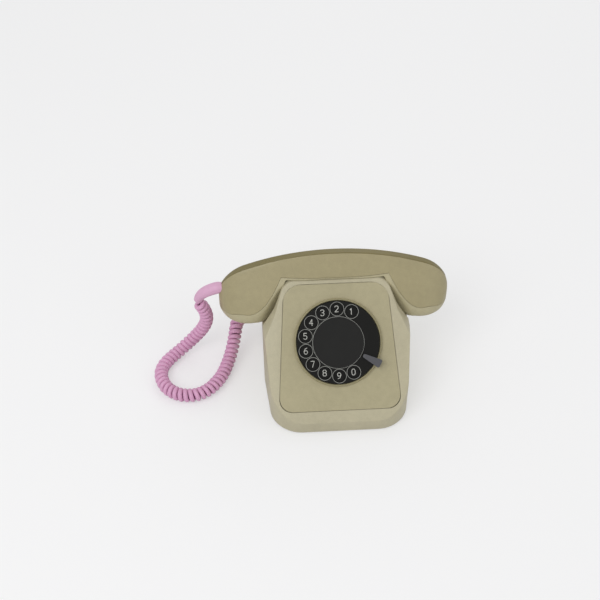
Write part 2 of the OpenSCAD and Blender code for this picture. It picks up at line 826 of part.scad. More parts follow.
module ringer_gongs() {
    color(brass)
        for (side = [-1, 1])
            translate([side * gong_x, gong_y, gong_z]) rotate_extrude()
                polygon([[gong_r - gong_t, 0], [gong_r, 0], [gong_r - 0.6, gong_h - 4],
                         [gong_r - 4, gong_h - 0.6], [gong_r - 7, gong_h], [1.6, gong_h],
                         [1.6, gong_h - gong_t], [gong_r - 7, gong_h - gong_t],
                         [gong_r - 4.6, gong_h - 0.6 - gong_t], [gong_r - 0.6 - gong_t, gong_h - 4.6]]);
}

module gong_screws() {
    color(steel)
        for (side = [-1, 1])
            translate([side * gong_x, gong_y, gong_z + gong_h]) {
                translate([0, 0, -gong_t]) cylinder(r = 1.5, h = gong_t);
                cylinder(r = 3, h = 1.5);
            }
}

module ringer_clapper() {
    color(steel) {
        translate([0, clapper_y, clapper_z + face_gap]) tube(3.2, 1.45, 2.4);
        translate([-1, clapper_y + 2.4, clapper_z + face_gap])
            cube([2, hammer_y - clapper_y - 2.4, 1.6]);
        translate([0, hammer_y, gong_z + 3]) cylinder(r = 2.8, h = clapper_z + 1.8 - gong_z - 3);
        translate([-7, clapper_y - 3.6, clapper_z + face_gap]) cube([14, 2.2, 2.4]);
    }
}

// ---------- network ----------

board_z = 10;
board_t = 1.6;
board_top = board_z + board_t;
board_w = body_w - 46;
board_front = -body_d / 2 + 20;
board_back = coil_y - 16;
board_mid = (board_front + board_back) / 2;

module network_board() {
    color(board_brown) {
        translate([-board_w / 2, board_front, board_z])
            cube([board_w, board_back - board_front, board_t]);
        for (side = [-1, 1], y = [board_front + 8, board_back - 6])
            translate([side * (board_w / 2 - 6), y, ringer_z])
                cylinder(r = 2.5, h = board_z - ringer_z);
    }
}

module induction_coil() {
    color(steel) {
        translate([8 - board_w / 2, board_mid - 1, board_top]) {
            cube([24, 22, 3]);
            translate([0, 6, 3]) cube([24, 10, 12]);
            translate([5, 1, 3]) cube([14, 20, 10]);
        }
    }
}

module capacitor() {
    color("goldenrod") translate([8, board_mid + 9, board_top + 7]) rotate([0, 90, 0]) {
        cylinder(r = 7, h = 28);
        translate([0, 0, 28]) cylinder(r = 2, h = 2);
    }
}

module terminal_block() {
    color(dark_rubber) difference() {
        translate([-30, board_front + 6, board_top]) cube([60, 10, 7]);
        for (i = [0:5])
            translate([-25 + 10 * i, board_front + 11, board_top + 3]) cylinder(r = 2.2, h = 10);
    }
    color(brass)
        for (i = [0:5])
            translate([-25 + 10 * i, board_front + 11, board_top + 3]) cylinder(r = 2.1, h = 2.4);
}

// ---------- handset ----------

ear_fillet_r = 18;
inner_corner_r = 2;
end_round_r = 30;

// Plan of the handset: two round ears and the grip, with hollow fillets between them
module handset_plan(inset) {
    r = ear_r - inset;
    half = grip_w / 2 - inset;
    fillet = ear_fillet_r + inset;
    fillet_y = half + fillet;
    fillet_x = ear_x - sqrt((r + fillet) * (r + fillet) - fillet_y * fillet_y);
    square([2 * ear_x, 2 * half], center = true);
    for (side = [-1, 1]) {
        translate([side * ear_x, 0]) circle(r = r, $fn = 96);
        for (edge = [-1, 1])
            difference() {
                polygon([[side * fillet_x, 0], [side * fillet_x, edge * fillet_y], [side * ear_x, 0]]);
                translate([side * fillet_x, edge * fillet_y]) circle(r = fillet, $fn = 96);
            }
    }
}

// Front view of the handset: ears hanging down on each side of the grip
module handset_front(inset) {
    end_x = handset_l / 2 - inset;
    inner_x = ear_x - ear_r + inset;
    bottom = ear_bottom + inset;
    end_z = crest_z - crest_r + sqrt(crest_r * crest_r - end_x * end_x) + 0.5;
    polygon(rounded(concat(
        [[inner_x, grip_bottom + inset, inner_corner_r + inset], [inner_x, bottom, 4 - inset],
         [end_x, bottom, 6 - inset], [end_x, end_z, end_round_r - inset],
         [end_x - 60, end_z + 32, 0]],
        [[60 - end_x, end_z + 32, 0], [-end_x, end_z, end_round_r - inset],
         [-end_x, bottom, 6 - inset], [-inner_x, bottom, 4 - inset],
         [-inner_x, grip_bottom + inset, inner_corner_r + inset]])));
}

// Sweeps a section, drawn as [radius, y], along the crest's arch
module along_crest(spread) {
    translate([0, cradle_y, crest_z - crest_r]) rotate([90, 0, 0])
        rotate_extrude(angle = 2 * spread, start = 90 - spread, $fn = 180) children();
}

// Ridge-roof section swept along the crest's arch
module crest_arch(inset) {
    r = crest_r - inset * 1.2;
    half = strip_w / 2 - inset * 0.35;
    eave = ear_r + 3;
    eave_r = r - (eave - half) * tan(roof_angle) - inset * 0.6;
    along_crest(40)
        polygon([[140, -eave], [eave_r, -eave], [r, -half], [r, half], [eave_r, eave], [140, eave]]);
}

module handset_form(inset) {
    intersection() {
        crest_arch(inset);
        translate([0, cradle_y, ear_bottom - 5]) linear_extrude(90) handset_plan(inset);
        front_prism(90, cradle_y) handset_front(inset);
    }
}

// Everything below the line where the two shells meet
module below_parting() {
    grip_split = grip_bottom + shell_t;
    front_prism(90, cradle_y)
        polygon(rounded([
            [handset_l / 2 + 5, ear_bottom - 10, 0], [handset_l / 2 + 5, parting_z, 0],
            [ear_x - 7, parting_z, 16], [ear_x - 32, grip_split, 10],
            [-ear_x + 32, grip_split, 10], [-ear_x + 7, parting_z, 16],
            [-handset_l / 2 - 5, parting_z, 0], [-handset_l / 2 - 5, ear_bottom - 10, 0]]));
}

handset_screw_x = trough_l / 2 - 8;
handset_post_r = 3.4;
post_top = crest_z - crest_r + sqrt(crest_r * crest_r - pow(handset_screw_x + handset_post_r, 2))
           - strip_t - 0.3;
handset_screw_r = 1.35;
boot_neck_r = 4.4;
boot_z = ear_bottom + 23;
belly_bottom = trough_z + 0.5;

module boot_hole() {
    translate([-handset_l / 2 - 5, cradle_y, boot_z]) rotate([0, 90, 0])
        cylinder(r = boot_neck_r + fit_gap, h = 12);
}

module handset_upper_shell() {
    color(beige) {
        difference() {
            handset_form(0);
            handset_form(shell_t);
            below_parting();
            boot_hole();
            // flat seat for the trim strip
            along_crest(strip_spread)
                translate([crest_r - strip_t, -ear_r]) square([10, 2 * ear_r]);
        }
        // posts for the two screws, up to the roof
        for (side = [-1, 1])
            translate([side * handset_screw_x, cradle_y, grip_bottom + shell_t])
                tube(handset_post_r, handset_screw_r + 0.05, post_top - grip_bottom - shell_t);
    }
}

module handset_lower_shell() {
    color(light_beige) difference() {
        union() {
            difference() {
                intersection() {
                    handset_form(0);
                    below_parting();
                }
                handset_form(shell_t);
            }
            // belly that drops into the cradle's trough
            translate([0, cradle_y, belly_bottom])
                linear_extrude(grip_bottom + 0.5 - belly_bottom)
                    slot(trough_l - 2 * belly_gap, trough_w - 2 * belly_gap);
        }
        for (side = [-1, 1])
            translate([side * handset_screw_x, cradle_y, 0]) {
                cylinder(r = handset_screw_r + 0.15, h = 200);
                cylinder(r = 2.9, h = belly_bottom + 2.2);
            }
        sound_holes();
    }
}

module sound_holes() {
    // mouth end: centre hole and two rings; ear end: centre hole and one ring
    translate([-ear_x, cradle_y, ear_bottom - 1]) {
        cylinder(r = 1.2, h = shell_t + 2);
        for (i = [0:17])
            rotate(i < 6 ? i * 60 : i * 30)
                translate([i < 6 ? 6 : 12, 0, 0]) cylinder(r = 1.2, h = shell_t + 2);
    }
    translate([ear_x, cradle_y, ear_bottom - 1]) {
        cylinder(r = 1.5, h = shell_t + 2);
        for (i = [0:5])
            rotate(i * 60) translate([8, 0, 0]) cylinder(r = 1.5, h = shell_t + 2);
    }
}

strip_spread = 25.2;

module handset_trim_strip() {
    half = strip_w / 2;
    low = half + strip_t / tan(roof_angle);
    color(olive) along_crest(strip_spread - 0.05)
        polygon([[crest_r - strip_t, -low], [crest_r, -half], [crest_r, half], [crest_r - strip_t, low]]);
}

module capsule(side, back_r) {
    floor_z = ear_bottom + shell_t;
    translate([side * ear_x, cradle_y, floor_z]) {
        cylinder(r = ear_r - shell_t - 4.6, h = 8);
        translate([0, 0, 8]) cylinder(r1 = ear_r - shell_t - 7, r2 = back_r, h = 3);
        translate([0, 0, 11]) cylinder(r = back_r, h = 4);
    }
}

module receiver_capsule() {
    color(steel) capsule(1, 13);
}

module transmitter_capsule() {
    color(brass) capsule(-1, 10);
}

module handset_screws() {
    color(steel)
        for (side = [-1, 1])
            translate([side * handset_screw_x, cradle_y, belly_bottom + 0.6]) {
                cylinder(r = 2.6, h = 1.6);
                cylinder(r = handset_screw_r, h = 13);
            }
}

// ---------- handset cord ----------

// Where the boot leaves the handset and where the cord enters the gland
boot_exit = [-handset_l / 2 - 0.4, cradle_y, boot_z];
gland_face = [-body_w / 2 - 1.6, gland_y, gland_z];
boot_steps = [[0, 0, 0], [-5.1, 0, -0.4], [-10.6, 0.2, -2.8], [-15.6, 0.5, -7.2], [-18.8, 0.8, -12.5],
              [-20.2, 1, -18]];
boot_route = [for (step = boot_steps) boot_exit + step];
boot_radii = [5.8, 6, 6, 5.7, 5.1, 4.2];

// Route of the curls' axis: down from the boot, round on the table, and up to the gland.
// It is drawn for two given ends, and each point moves as far as these ends do, by its share.
drawn_exit = [-109.9, 27.5, 90];
drawn_face = [-70.6, 51.5, 27];
drawn_route = [[-130.1, 28.5, 72], [-130.5, 28.7, 66], [-128.8, 29.5, 60], [-125.2, 31, 53],
               [-122.6, 32.7, 45.5], [-122.4, 34.5, 38], [-124.8, 36.3, 30.5], [-129.5, 37.9, 23.5],
               [-135.5, 38.7, 17], [-142, 37.7, 11.5], [-149, 33.5, 8], [-156, 26.5, 7],
               [-162.5, 18, 7], [-167.5, 8.5, 7], [-169.8, -2.5, 7], [-168.5, -13.5, 7],
               [-163.5, -23.5, 7], [-155.5, -30.5, 7], [-145.5, -34, 7], [-134.5, -33.5, 7],
               [-124.5, -28.5, 7], [-116, -20, 7], [-109, -9.5, 7], [-104, 2.5, 8],
               [-100.4, 13, 11.5], [-97.7, 22.5, 17], [-96, 31.5, 22.5], [-94.2, 40.5, 26],
               [-88.9, 47.6, 27], [-81, 51, 27], [-70.6, 51.5, 27]];
cord_route = [for (i = [0:len(drawn_route) - 1])
    let (p = drawn_route[i], share = i / (len(drawn_route) - 1),
         shift = (boot_exit - drawn_exit) * (1 - share) + (gland_face - drawn_face) * share)
    [p.x + shift.x, p.y + shift.y, p.z + shift.z * max(0, (p.z - 8) / 64)]];

// Smooth curve through the route's points
function curve(points, t) =
    let (last = len(points) - 1,
         i = min(floor(t * last), last - 1),
         f = t * last - i,
         a = points[max(i - 1, 0)], b = points[i], c = points[i + 1], d = points[min(i + 2, last)])
    0.5 * (2 * b + (c - a) * f + (2 * a - 5 * b + 4 * c - d) * f * f
           + (3 * b - a - 3 * c + d) * f * f * f);

// Places of equal arc length along a chain of points
function lengths(chain) =
    [for (i = 0, total = 0; i < len(chain);
          total = total + (i + 1 < len(chain) ? norm(chain[i + 1] - chain[i]) : 0), i = i + 1) total];
function along(chain, sums, s) =
    let (i = max([for (k = [0:len(sums) - 2]) sums[k] <= s ? k : 0]),
         f = (s - sums[i]) / (sums[i + 1] - sums[i]))
    chain[i] + (chain[i + 1] - chain[i]) * min(f, 1);

rings_per_curl = 8;
curl_r = (curl_d - wire_d) / 2;
fine_steps = 300;
fine = [for (i = [0:fine_steps]) curve(cord_route, i / fine_steps)];
fine_sums = lengths(fine);
cord_axis_l = fine_sums[fine_steps];
straight_l = 1.3 * wire_d;
ring_count = curls * rings_per_curl;
axis_points = [for (i = [0:ring_count])
    along(fine, fine_sums, straight_l + (cord_axis_l - 2 * straight_l) * i / ring_count)];
axis_tangents = [for (i = [0:ring_count])
    unit(axis_points[min(i + 1, ring_count)] - axis_points[max(i - 1, 0)])];

// Frames that don't twist along the axis
function square_to(v, t) = unit(v - (v * t) * t);
axis_normals = [for (i = 0, n = square_to([0, 1, 0], axis_tangents[0]); i <= ring_count;
    i = i + 1, n = square_to(n, axis_tangents[min(i, ring_count)])) n];

// The curls open out and close again over the first and last one and a half curls
function opening(i) =
    let (u = min(i, ring_count - i) / (1.5 * rings_per_curl))
    u >= 1 ? 1 : u * u * (3 - 2 * u);
curl_points = [for (i = [0:ring_count])
    let (a = 360 * i / rings_per_curl, b = cross(axis_tangents[i], axis_normals[i]))
    axis_points[i] + curl_r * opening(i) * (cos(a) * axis_normals[i] + sin(a) * b)];
cord_points = concat([cord_route[0]], curl_points, [cord_route[len(cord_route) - 1]]);

least_gap = min([for (i = [1:ring_count - 6], k = [6:min(12, ring_count - i)])
    norm(curl_points[i] - curl_points[i + k])]) - wire_d;
echo(cord_axis_length = cord_axis_l, curl_pitch = (cord_axis_l - 2 * straight_l) / curls,
     least_gap = least_gap);

// Tube through points, closed at both ends, with the given radii and number of sides
module swept_tube(points, radii, sides, end_a, end_b) {
    last = len(points) - 1;
    tangents = [for (i = [0:last])
        i == 0 ? end_a : i == last ? end_b : unit(points[i + 1] - points[i - 1])];
    normals = [for (i = 0, n = square_to([0.1, 0.2, 1], tangents[0]); i <= last;
        i = i + 1, n = square_to(n, tangents[min(i, last)])) n];
    ring_points = [for (i = [0:last], k = [0:sides - 1])
        let (a = 360 * k / sides, b = cross(tangents[i], normals[i]))
        points[i] + radii[i] * (cos(a) * normals[i] + sin(a) * b)];
    sides_faces = [for (i = [0:last - 1], k = [0:sides - 1], half = [0, 1])
        let (p = i * sides + k, q = i * sides + (k + 1) % sides)
        half == 0 ? [p, q + sides, q] : [p, p + sides, q + sides]];
    caps = [[for (k = [0:sides - 1]) k], [for (k = [sides - 1:-1:0]) last * sides + k]];
    polyhedron(ring_points, concat(sides_faces, caps));
}

module handset_cord_boot() {
    last = len(boot_route) - 1;
    color(pink) {
        swept_tube(boot_route, boot_radii, 16, [-1, 0, 0], unit(boot_route[last] - boot_route[last - 1]));
        translate([boot_route[0].x, cradle_y, boot_z]) rotate([0, 90, 0]) {
            cylinder(r = boot_neck_r, h = 5);
            translate([0, 0, 4]) cylinder(r = boot_neck_r + 1.4, h = 1.8);
        }
    }
}

module handset_cord() {
    count = len(cord_points);
    last = len(boot_route) - 1;
    color(pink)
        swept_tube(cord_points, [for (i = [1:count]) wire_d / 2], 6,
                   unit(boot_route[last] - boot_route[last - 1]), [1, 0, 0]);
}

housing();
face_panel();
base_plate();
rubber_feet();
base_screws();
cord_gland();
line_cord_inlet();
dial_bezel();
number_plate();
dial_digits();
finger_wheel();
dial_centre_cap();
finger_stop();
dial_shaft();
wheel_screw();
dial_frame();
dial_screws();
dial_main_gear();
pulse_wheel();
pulse_contacts();
dial_return_spring();
governor();
governor_cup();
cradle_plunger_left();
cradle_plunger_right();
hook_lever();
hook_bracket();
hook_pivot_pin();
hook_spring();
hook_contacts();
ringer_frame();
ringer_coil();
ringer_gongs();
gong_screws();
ringer_clapper();
network_board();
induction_coil();
capacitor();
terminal_block();
handset_upper_shell();
handset_lower_shell();
handset_trim_strip();
receiver_capsule();
transmitter_capsule();
handset_screws();
handset_cord_boot();
handset_cord();
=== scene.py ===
# %% [markdown]
# # A compact rotary desk telephone
# The CAD frame holds every part at its real size. This lesson dresses it: it models the curly cord,
# the moulded covers and the small trim, and gives each part the finish of the real thing.
# Blender works in metres, +Z is up, and the dial looks up and towards -Y. The moulded pieces are
# measured in millimetres, as on a drawing, and turned into metres where they are made.

# %% Load the frame
import math

import bmesh
import bpy
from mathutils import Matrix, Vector


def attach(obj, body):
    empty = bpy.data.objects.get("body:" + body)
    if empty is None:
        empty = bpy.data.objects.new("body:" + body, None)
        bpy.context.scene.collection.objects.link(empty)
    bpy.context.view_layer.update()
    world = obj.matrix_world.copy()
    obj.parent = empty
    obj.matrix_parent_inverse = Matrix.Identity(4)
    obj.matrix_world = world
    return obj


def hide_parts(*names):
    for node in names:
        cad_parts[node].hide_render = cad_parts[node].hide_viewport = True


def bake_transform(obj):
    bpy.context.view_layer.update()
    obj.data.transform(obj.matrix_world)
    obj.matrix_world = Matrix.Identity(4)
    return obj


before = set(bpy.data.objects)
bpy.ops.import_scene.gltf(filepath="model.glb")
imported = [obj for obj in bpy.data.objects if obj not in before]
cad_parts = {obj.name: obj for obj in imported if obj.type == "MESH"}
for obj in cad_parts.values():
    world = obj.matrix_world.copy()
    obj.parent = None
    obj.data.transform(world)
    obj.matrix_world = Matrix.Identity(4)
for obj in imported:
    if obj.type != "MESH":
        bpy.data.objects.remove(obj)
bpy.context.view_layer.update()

scene = bpy.context.scene
MM = 0.001

# %% [markdown]
# ## Camera
# A long lens a metre away keeps the telephone's upright lines nearly parallel. The camera looks
# down at 45 degrees and stands a little to the left, so that both sides of the housing show.

# %% Place the camera
CAMERA_PLACE = Vector((-0.0767, -0.7047, 0.8017))
CAMERA_TURN = math.radians(-3.5)
CAMERA_RISE = math.radians(45)
SENSOR_WIDTH, LENS = 36, 64.5
towards_camera = Vector((math.sin(CAMERA_TURN) * math.cos(CAMERA_RISE),
                         -math.cos(CAMERA_TURN) * math.cos(CAMERA_RISE),
                         math.sin(CAMERA_RISE)))

bpy.ops.object.camera_add(location=CAMERA_PLACE)
camera = bpy.context.object
camera.name = "desk_camera"
camera.rotation_euler = towards_camera.to_track_quat("Z", "Y").to_euler()
camera.data.sensor_width = SENSOR_WIDTH
camera.data.lens = LENS
scene.camera = camera
print("Camera:", LENS, "mm lens,", round(CAMERA_PLACE.length, 2), "m from the middle of the table")

# %% [markdown]
# ## Curly cord
# A handset cord is a soft round lead wound into a tight spring. Its shape is a helix on a curved
# axis, so the axis comes first: a smooth curve through a few points, from the gland in the side
# wall, round on the table and up to the handset. The curls are then worked out along it.

# %% Route of the cord
CURL_ROUTE = [
    (-0.0706, 0.0515, 0.027), (-0.081, 0.051, 0.027), (-0.0889, 0.0476, 0.027),
    (-0.0942, 0.0405, 0.026), (-0.0962, 0.0315, 0.0225), (-0.0984, 0.0225, 0.017),
    (-0.1014, 0.013, 0.0115), (-0.1052, 0.0025, 0.008), (-0.11, -0.0095, 0.007),
    (-0.1165, -0.02, 0.007), (-0.1245, -0.0285, 0.007), (-0.1345, -0.0335, 0.007),
    (-0.1455, -0.034, 0.007), (-0.1555, -0.0305, 0.007), (-0.1635, -0.0235, 0.007),
    (-0.1685, -0.0135, 0.007), (-0.1698, -0.0025, 0.007), (-0.1665, 0.0075, 0.007),
    (-0.1597, 0.0165, 0.0072), (-0.1518, 0.0235, 0.009), (-0.1445, 0.028, 0.013),
    (-0.1378, 0.0305, 0.0185), (-0.1318, 0.0318, 0.025), (-0.127, 0.032, 0.0325),
    (-0.124, 0.0316, 0.0405), (-0.1232, 0.0308, 0.049), (-0.1244, 0.03, 0.057),
    (-0.127, 0.0292, 0.0645), (-0.1301, 0.0285, 0.072)]
BOOT_ROUTE = [
    (-0.1045, 0.0275, 0.09), (-0.1099, 0.0275, 0.0895), (-0.115, 0.0275, 0.088),
    (-0.1205, 0.0277, 0.0853), (-0.1253, 0.028, 0.0815), (-0.1285, 0.0283, 0.0768),
    (-0.1301, 0.0285, 0.072)]
CURL_WIDTH = 0.0134
LEAD_WIDTH = 0.0046
CURLS = 58
POINTS_PER_CURL = 24


def smooth_curve(points, steps):
    """Catmull-Rom curve through the points, with so many steps from each one to the next."""
    points = [Vector(p) for p in points]
    made = []
    for i in range(len(points) - 1):
        a, b = points[max(i - 1, 0)], points[i]
        c, d = points[i + 1], points[min(i + 2, len(points) - 1)]
        for k in range(steps):
            f = k / steps
            made.append(0.5 * (2 * b + (c - a) * f + (2 * a - 5 * b + 4 * c - d) * f ** 2
                               + (3 * b - a - 3 * c + d) * f ** 3))
    return made + [points[-1]]


def even_points(chain, count):
    """The same line with its points at equal distances, and its length."""
    reach = [0.0]
    for a, b in zip(chain, chain[1:]):
        reach.append(reach[-1] + (b - a).length)
    made, i = [], 0
    for k in range(count + 1):
        s = reach[-1] * k / count
        while i < len(chain) - 2 and reach[i + 1] < s:
            i += 1
        made.append(chain[i].lerp(chain[i + 1], (s - reach[i]) / (reach[i + 1] - reach[i])))
    return made, reach[-1]


curl_axis, cord_length = even_points(smooth_curve(CURL_ROUTE, 12), CURLS * POINTS_PER_CURL)
print("Cord axis in millimetres:", round(cord_length / MM, 1),
      "pitch:", round(cord_length / CURLS / MM, 2))

# %% [markdown]
# A tube needs a frame of two directions at each point of its line. Turning the last frame just
# enough to stay square to the line keeps the tube from twisting.

# %% Tube along a line
def frames_along(points, first):
    """A pair of directions square to the line at each point, carried along without twist."""
    side, made = Vector(first), []
    for i in range(len(points)):
        ahead = (points[min(i + 1, len(points) - 1)] - points[max(i - 1, 0)]).normalized()
        side = (side - side.dot(ahead) * ahead).normalized()
        made.append((side.copy(), ahead.cross(side)))
    return made


def tube(name, points, radii, sides):
    """A closed round tube as a mesh object."""
    build = bmesh.new()
    rings = []
    for point, radius, (u, v) in zip(points, radii, frames_along(points, (0.1, 0.2, 1))):
        rings.append([build.verts.new(point + radius * (math.cos(t) * u + math.sin(t) * v))
                      for t in (math.tau * k / sides for k in range(sides))])
    for low, high in zip(rings, rings[1:]):
        for k in range(sides):
            build.faces.new((low[k], low[(k + 1) % sides], high[(k + 1) % sides], high[k]))
    build.faces.new(rings[0][::-1])
    build.faces.new(rings[-1])
    bmesh.ops.recalc_face_normals(build, faces=build.faces)
    mesh = bpy.data.meshes.new(name)
    build.to_mesh(mesh)
    build.free()
    mesh.polygons.foreach_set("use_smooth", [len(p.vertices) == 4 for p in mesh.polygons])
    piece = bpy.data.objects.new(name, mesh)
    scene.collection.objects.link(piece)
    return piece


# %% [markdown]
# The lead goes once round the axis for each curl. The first and last curls open out softly from
# the axis, as on a real cord, where the lead leaves its anchor straight.

# %% Wind the curls
OPENING_TURNS = 1.2
LEAD_SIDES = 12


def eased(low, high, value):
    """0 below low, 1 above high, and a soft step in between."""
    share = min(1.0, max(0.0, (value - low) / (high - low)))
    return share * share * (3 - 2 * share)


lead_line = []
for i, (centre, (u, v)) in enumerate(zip(curl_axis, frames_along(curl_axis, (0, 1, 0)))):
    turns = i / POINTS_PER_CURL
    out = (CURL_WIDTH - LEAD_WIDTH) / 2 * eased(0, OPENING_TURNS, min(turns, CURLS - turns))
    angle = math.tau * turns
    lead_line.append(centre + out * (math.cos(angle) * u + math.sin(angle) * v))
curly_cord = tube("curly_cord", lead_line, [LEAD_WIDTH / 2] * len(lead_line), LEAD_SIDES)
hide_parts("handset_cord")
print("Curly cord:", CURLS, "curls,", len(curly_cord.data.polygons), "faces")

# %% [markdown]
# The boot is the moulded sleeve that keeps the lead from kinking at the handset. It leaves the
# ear square, bends down and gets slimmer towards the first curl.

# %% Boot at the handset
BOOT_RADII = [0.0046, 0.0057, 0.0057, 0.0055, 0.0051, 0.0046, 0.004]
BOOT_STEPS, BOOT_SIDES, LIP_SHARE = 40, 32, 0.05
boot_line, boot_length = even_points(smooth_curve(BOOT_ROUTE, 8), BOOT_STEPS)


def boot_radius(f):
    """Radius of the boot at a share f of its length, with a rounded lip at its end."""
    place = f * (len(BOOT_RADII) - 1)
    i = min(int(place), len(BOOT_RADII) - 2)
    radius = BOOT_RADII[i] + (BOOT_RADII[i + 1] - BOOT_RADII[i]) * (place - i)
    lip = max(0.0, (f - (1 - LIP_SHARE)) / LIP_SHARE)
    return radius * math.sqrt(1 - 0.6 * lip ** 2)


cord_boot = tube("cord_boot", boot_line,
                 [boot_radius(i / BOOT_STEPS) for i in range(BOOT_STEPS + 1)], BOOT_SIDES)
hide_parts("handset_cord_boot")
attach(cord_boot, "handset")
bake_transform(curly_cord)
print("Boot length in millimetres:", round(boot_length / MM, 1))

# %% [markdown]
# ## Modelling by hand, in code
# Every piece below starts as a primitive and is shaped in edit mode, as it would be with the
# mouse. The helpers below make each step read as one entry of Blender's menus. The first ones open
# a piece for editing and pick its points, edges or faces by where they are.

# %% Open a piece and pick its parts
def mm(*values):
    """A place given in millimetres."""
    return Vector(values) * MM


def select_only(*pieces):
    """Selects these pieces and nothing else, and makes the first one active."""
    bpy.ops.object.select_all(action="DESELECT")
    for piece in pieces:
        piece.select_set(True)
    bpy.context.view_layer.objects.active = pieces[0]


def open_for_editing(piece):
    select_only(piece)
    bpy.ops.object.mode_set(mode="EDIT")
    bpy.ops.mesh.select_all(action="DESELECT")


def close_editing():
    bpy.ops.object.mode_set(mode="OBJECT")


def middle(part):
    """Middle of a point, an edge or a face, in millimetres."""
    if hasattr(part, "co"):
        return part.co / MM
    return sum((v.co for v in part.verts), Vector()) / len(part.verts) / MM


def near(value, target, slack=0.1):
    return abs(value - target) < slack


def pick(piece, kind, test):
    """Selects the points, edges or faces for which test says yes, and nothing else."""
    bpy.ops.mesh.select_mode(type=kind)
    bpy.ops.mesh.select_all(action="DESELECT")
    mesh = bmesh.from_edit_mesh(piece.data)
    for part in {"VERT": mesh.verts, "EDGE": mesh.edges, "FACE": mesh.faces}[kind]:
        if test(part):
            part.select_set(True)
    mesh.select_flush_mode()
    bmesh.update_edit_mesh(piece.data)


# %% [markdown]
# Three operators do most of the shaping: Bisect cuts along a plane, Scale draws points in or out,
# and Bevel rounds edges.

# %% Cut, widen and round
def cut(place, normal, remove=False):
    """Cuts the whole open piece along a plane. With remove, what lies ahead of it goes."""
    bpy.ops.mesh.select_all(action="SELECT")
    bpy.ops.mesh.bisect(plane_co=mm(*place), plane_no=Vector(normal).normalized(),
                        use_fill=remove, clear_outer=remove, threshold=1e-7)


def widen(factor):
    """Scales the picked points in x, from the middle plane."""
    bpy.ops.transform.resize(value=(factor, 1, 1), center_override=(0, 0, 0))


def round_edges(radius, segments):
    """Bevels the picked edges, with a radius in millimetres."""
    bpy.ops.mesh.bevel(offset=radius * MM, segments=segments, clamp_overlap=False)


# %% [markdown]
# Most pieces start as a box or a round bar. The place is applied to the mesh at once, so that each
# piece's own origin is the origin of the scene, as in the frame.

# %% Blocks and rods
def block(name, low, high):
    """A box between two corners, in millimetres, with its place in its mesh."""
    bpy.ops.object.select_all(action="DESELECT")
    low, high = mm(*low), mm(*high)
    bpy.ops.mesh.primitive_cube_add(size=1, location=(low + high) / 2)
    piece = bpy.context.object
    piece.name = name
    piece.scale = high - low
    bpy.ops.object.transform_apply(location=True, rotation=True, scale=True)
    return piece


def rod(name, radius, low, high, sides):
    """A round bar between two points, in millimetres."""
    bpy.ops.object.select_all(action="DESELECT")
    axis = mm(*high) - mm(*low)
    bpy.ops.mesh.primitive_cylinder_add(vertices=sides, radius=radius * MM, depth=axis.length,
                                        location=(mm(*low) + mm(*high)) / 2,
                                        rotation=axis.to_track_quat("Z", "Y").to_euler())
    piece = bpy.context.object
    piece.name = name
    bpy.ops.object.transform_apply(location=True, rotation=True, scale=True)
    return piece


# %% [markdown]
# Pieces are joined, cut out of each other and smoothed as whole objects. A Boolean modifier cuts
# best when both shapes are closed, so every cutting shape here is a closed solid too.

# %% Join, carve and smooth
def joined(pieces):
    """One object from several. It keeps the name of the first."""
    select_only(*pieces)
    bpy.ops.object.join()
    return pieces[0]


def put_modifier(piece, kind, **settings):
    """Adds a modifier, sets it and applies it."""
    select_only(piece)
    modifier = piece.modifiers.new(kind.lower(), kind)
    for key, value in settings.items():
        setattr(modifier, key, value)
    bpy.ops.object.modifier_apply(modifier=modifier.name)


def carve(piece, tool):
    """Cuts a tool out of a piece, and throws the tool away."""
    put_modifier(piece, "BOOLEAN", object=tool, operation="DIFFERENCE", solver="EXACT")
    bpy.data.objects.remove(tool, do_unlink=True)


def smooth(piece, degrees):
    """Shades a piece smooth, except at edges that turn by more than the angle."""
    select_only(piece)
    bpy.ops.object.shade_smooth_by_angle(angle=math.radians(degrees))


# %% [markdown]
# ## Housing
# The housing is one moulded shell: upright walls that draw in towards the front, a sloping face
# for the dial, shoulders that turn up into a neck, and two pockets that the handset's ears hang
# in. A block is cut along flat planes first, because planes keep the big surfaces true. The
# corners in plan are rounded before the slope is cut, so that their curves run out onto it.

# %% Block out the housing
BODY_W, BODY_D, BODY_H = 138, 163, 108
FRONT_W, FRONT_H, NARROWING_Y, RIM = 125, 14, -14, 1.2
FRONT_CORNER_R, BACK_CORNER_R = 27, 24
SHOULDER_Z, NECK_Z, NECK_W, NECK_LOW_W = 70, 86, 96, 115
CRADLE_Y, CRADLE_BACK_Y, BACK_Z = 27.5, 47.5, 44
SLOPE, BACK_SLOPE = (0, -1, 1), (0, BODY_H - BACK_Z, BODY_D / 2 - CRADLE_BACK_Y)

# Where faces lean, a wall 1 mm thick moves their edges by these distances down or inwards.
SHOULDER_DROP, NECK_DROP, NECK_LOW_SHIFT, NECK_TOP_SHIFT = 0.33, 0.5, 0.87, 1.09


def upright(edge, x, y):
    """Whether an edge stands upright at about this place in plan, on either side."""
    a, b = (v.co / MM for v in edge.verts)
    return (a - b).xy.length < 0.01 and near(abs(a.x), x, 1) and near(a.y, y, 1)


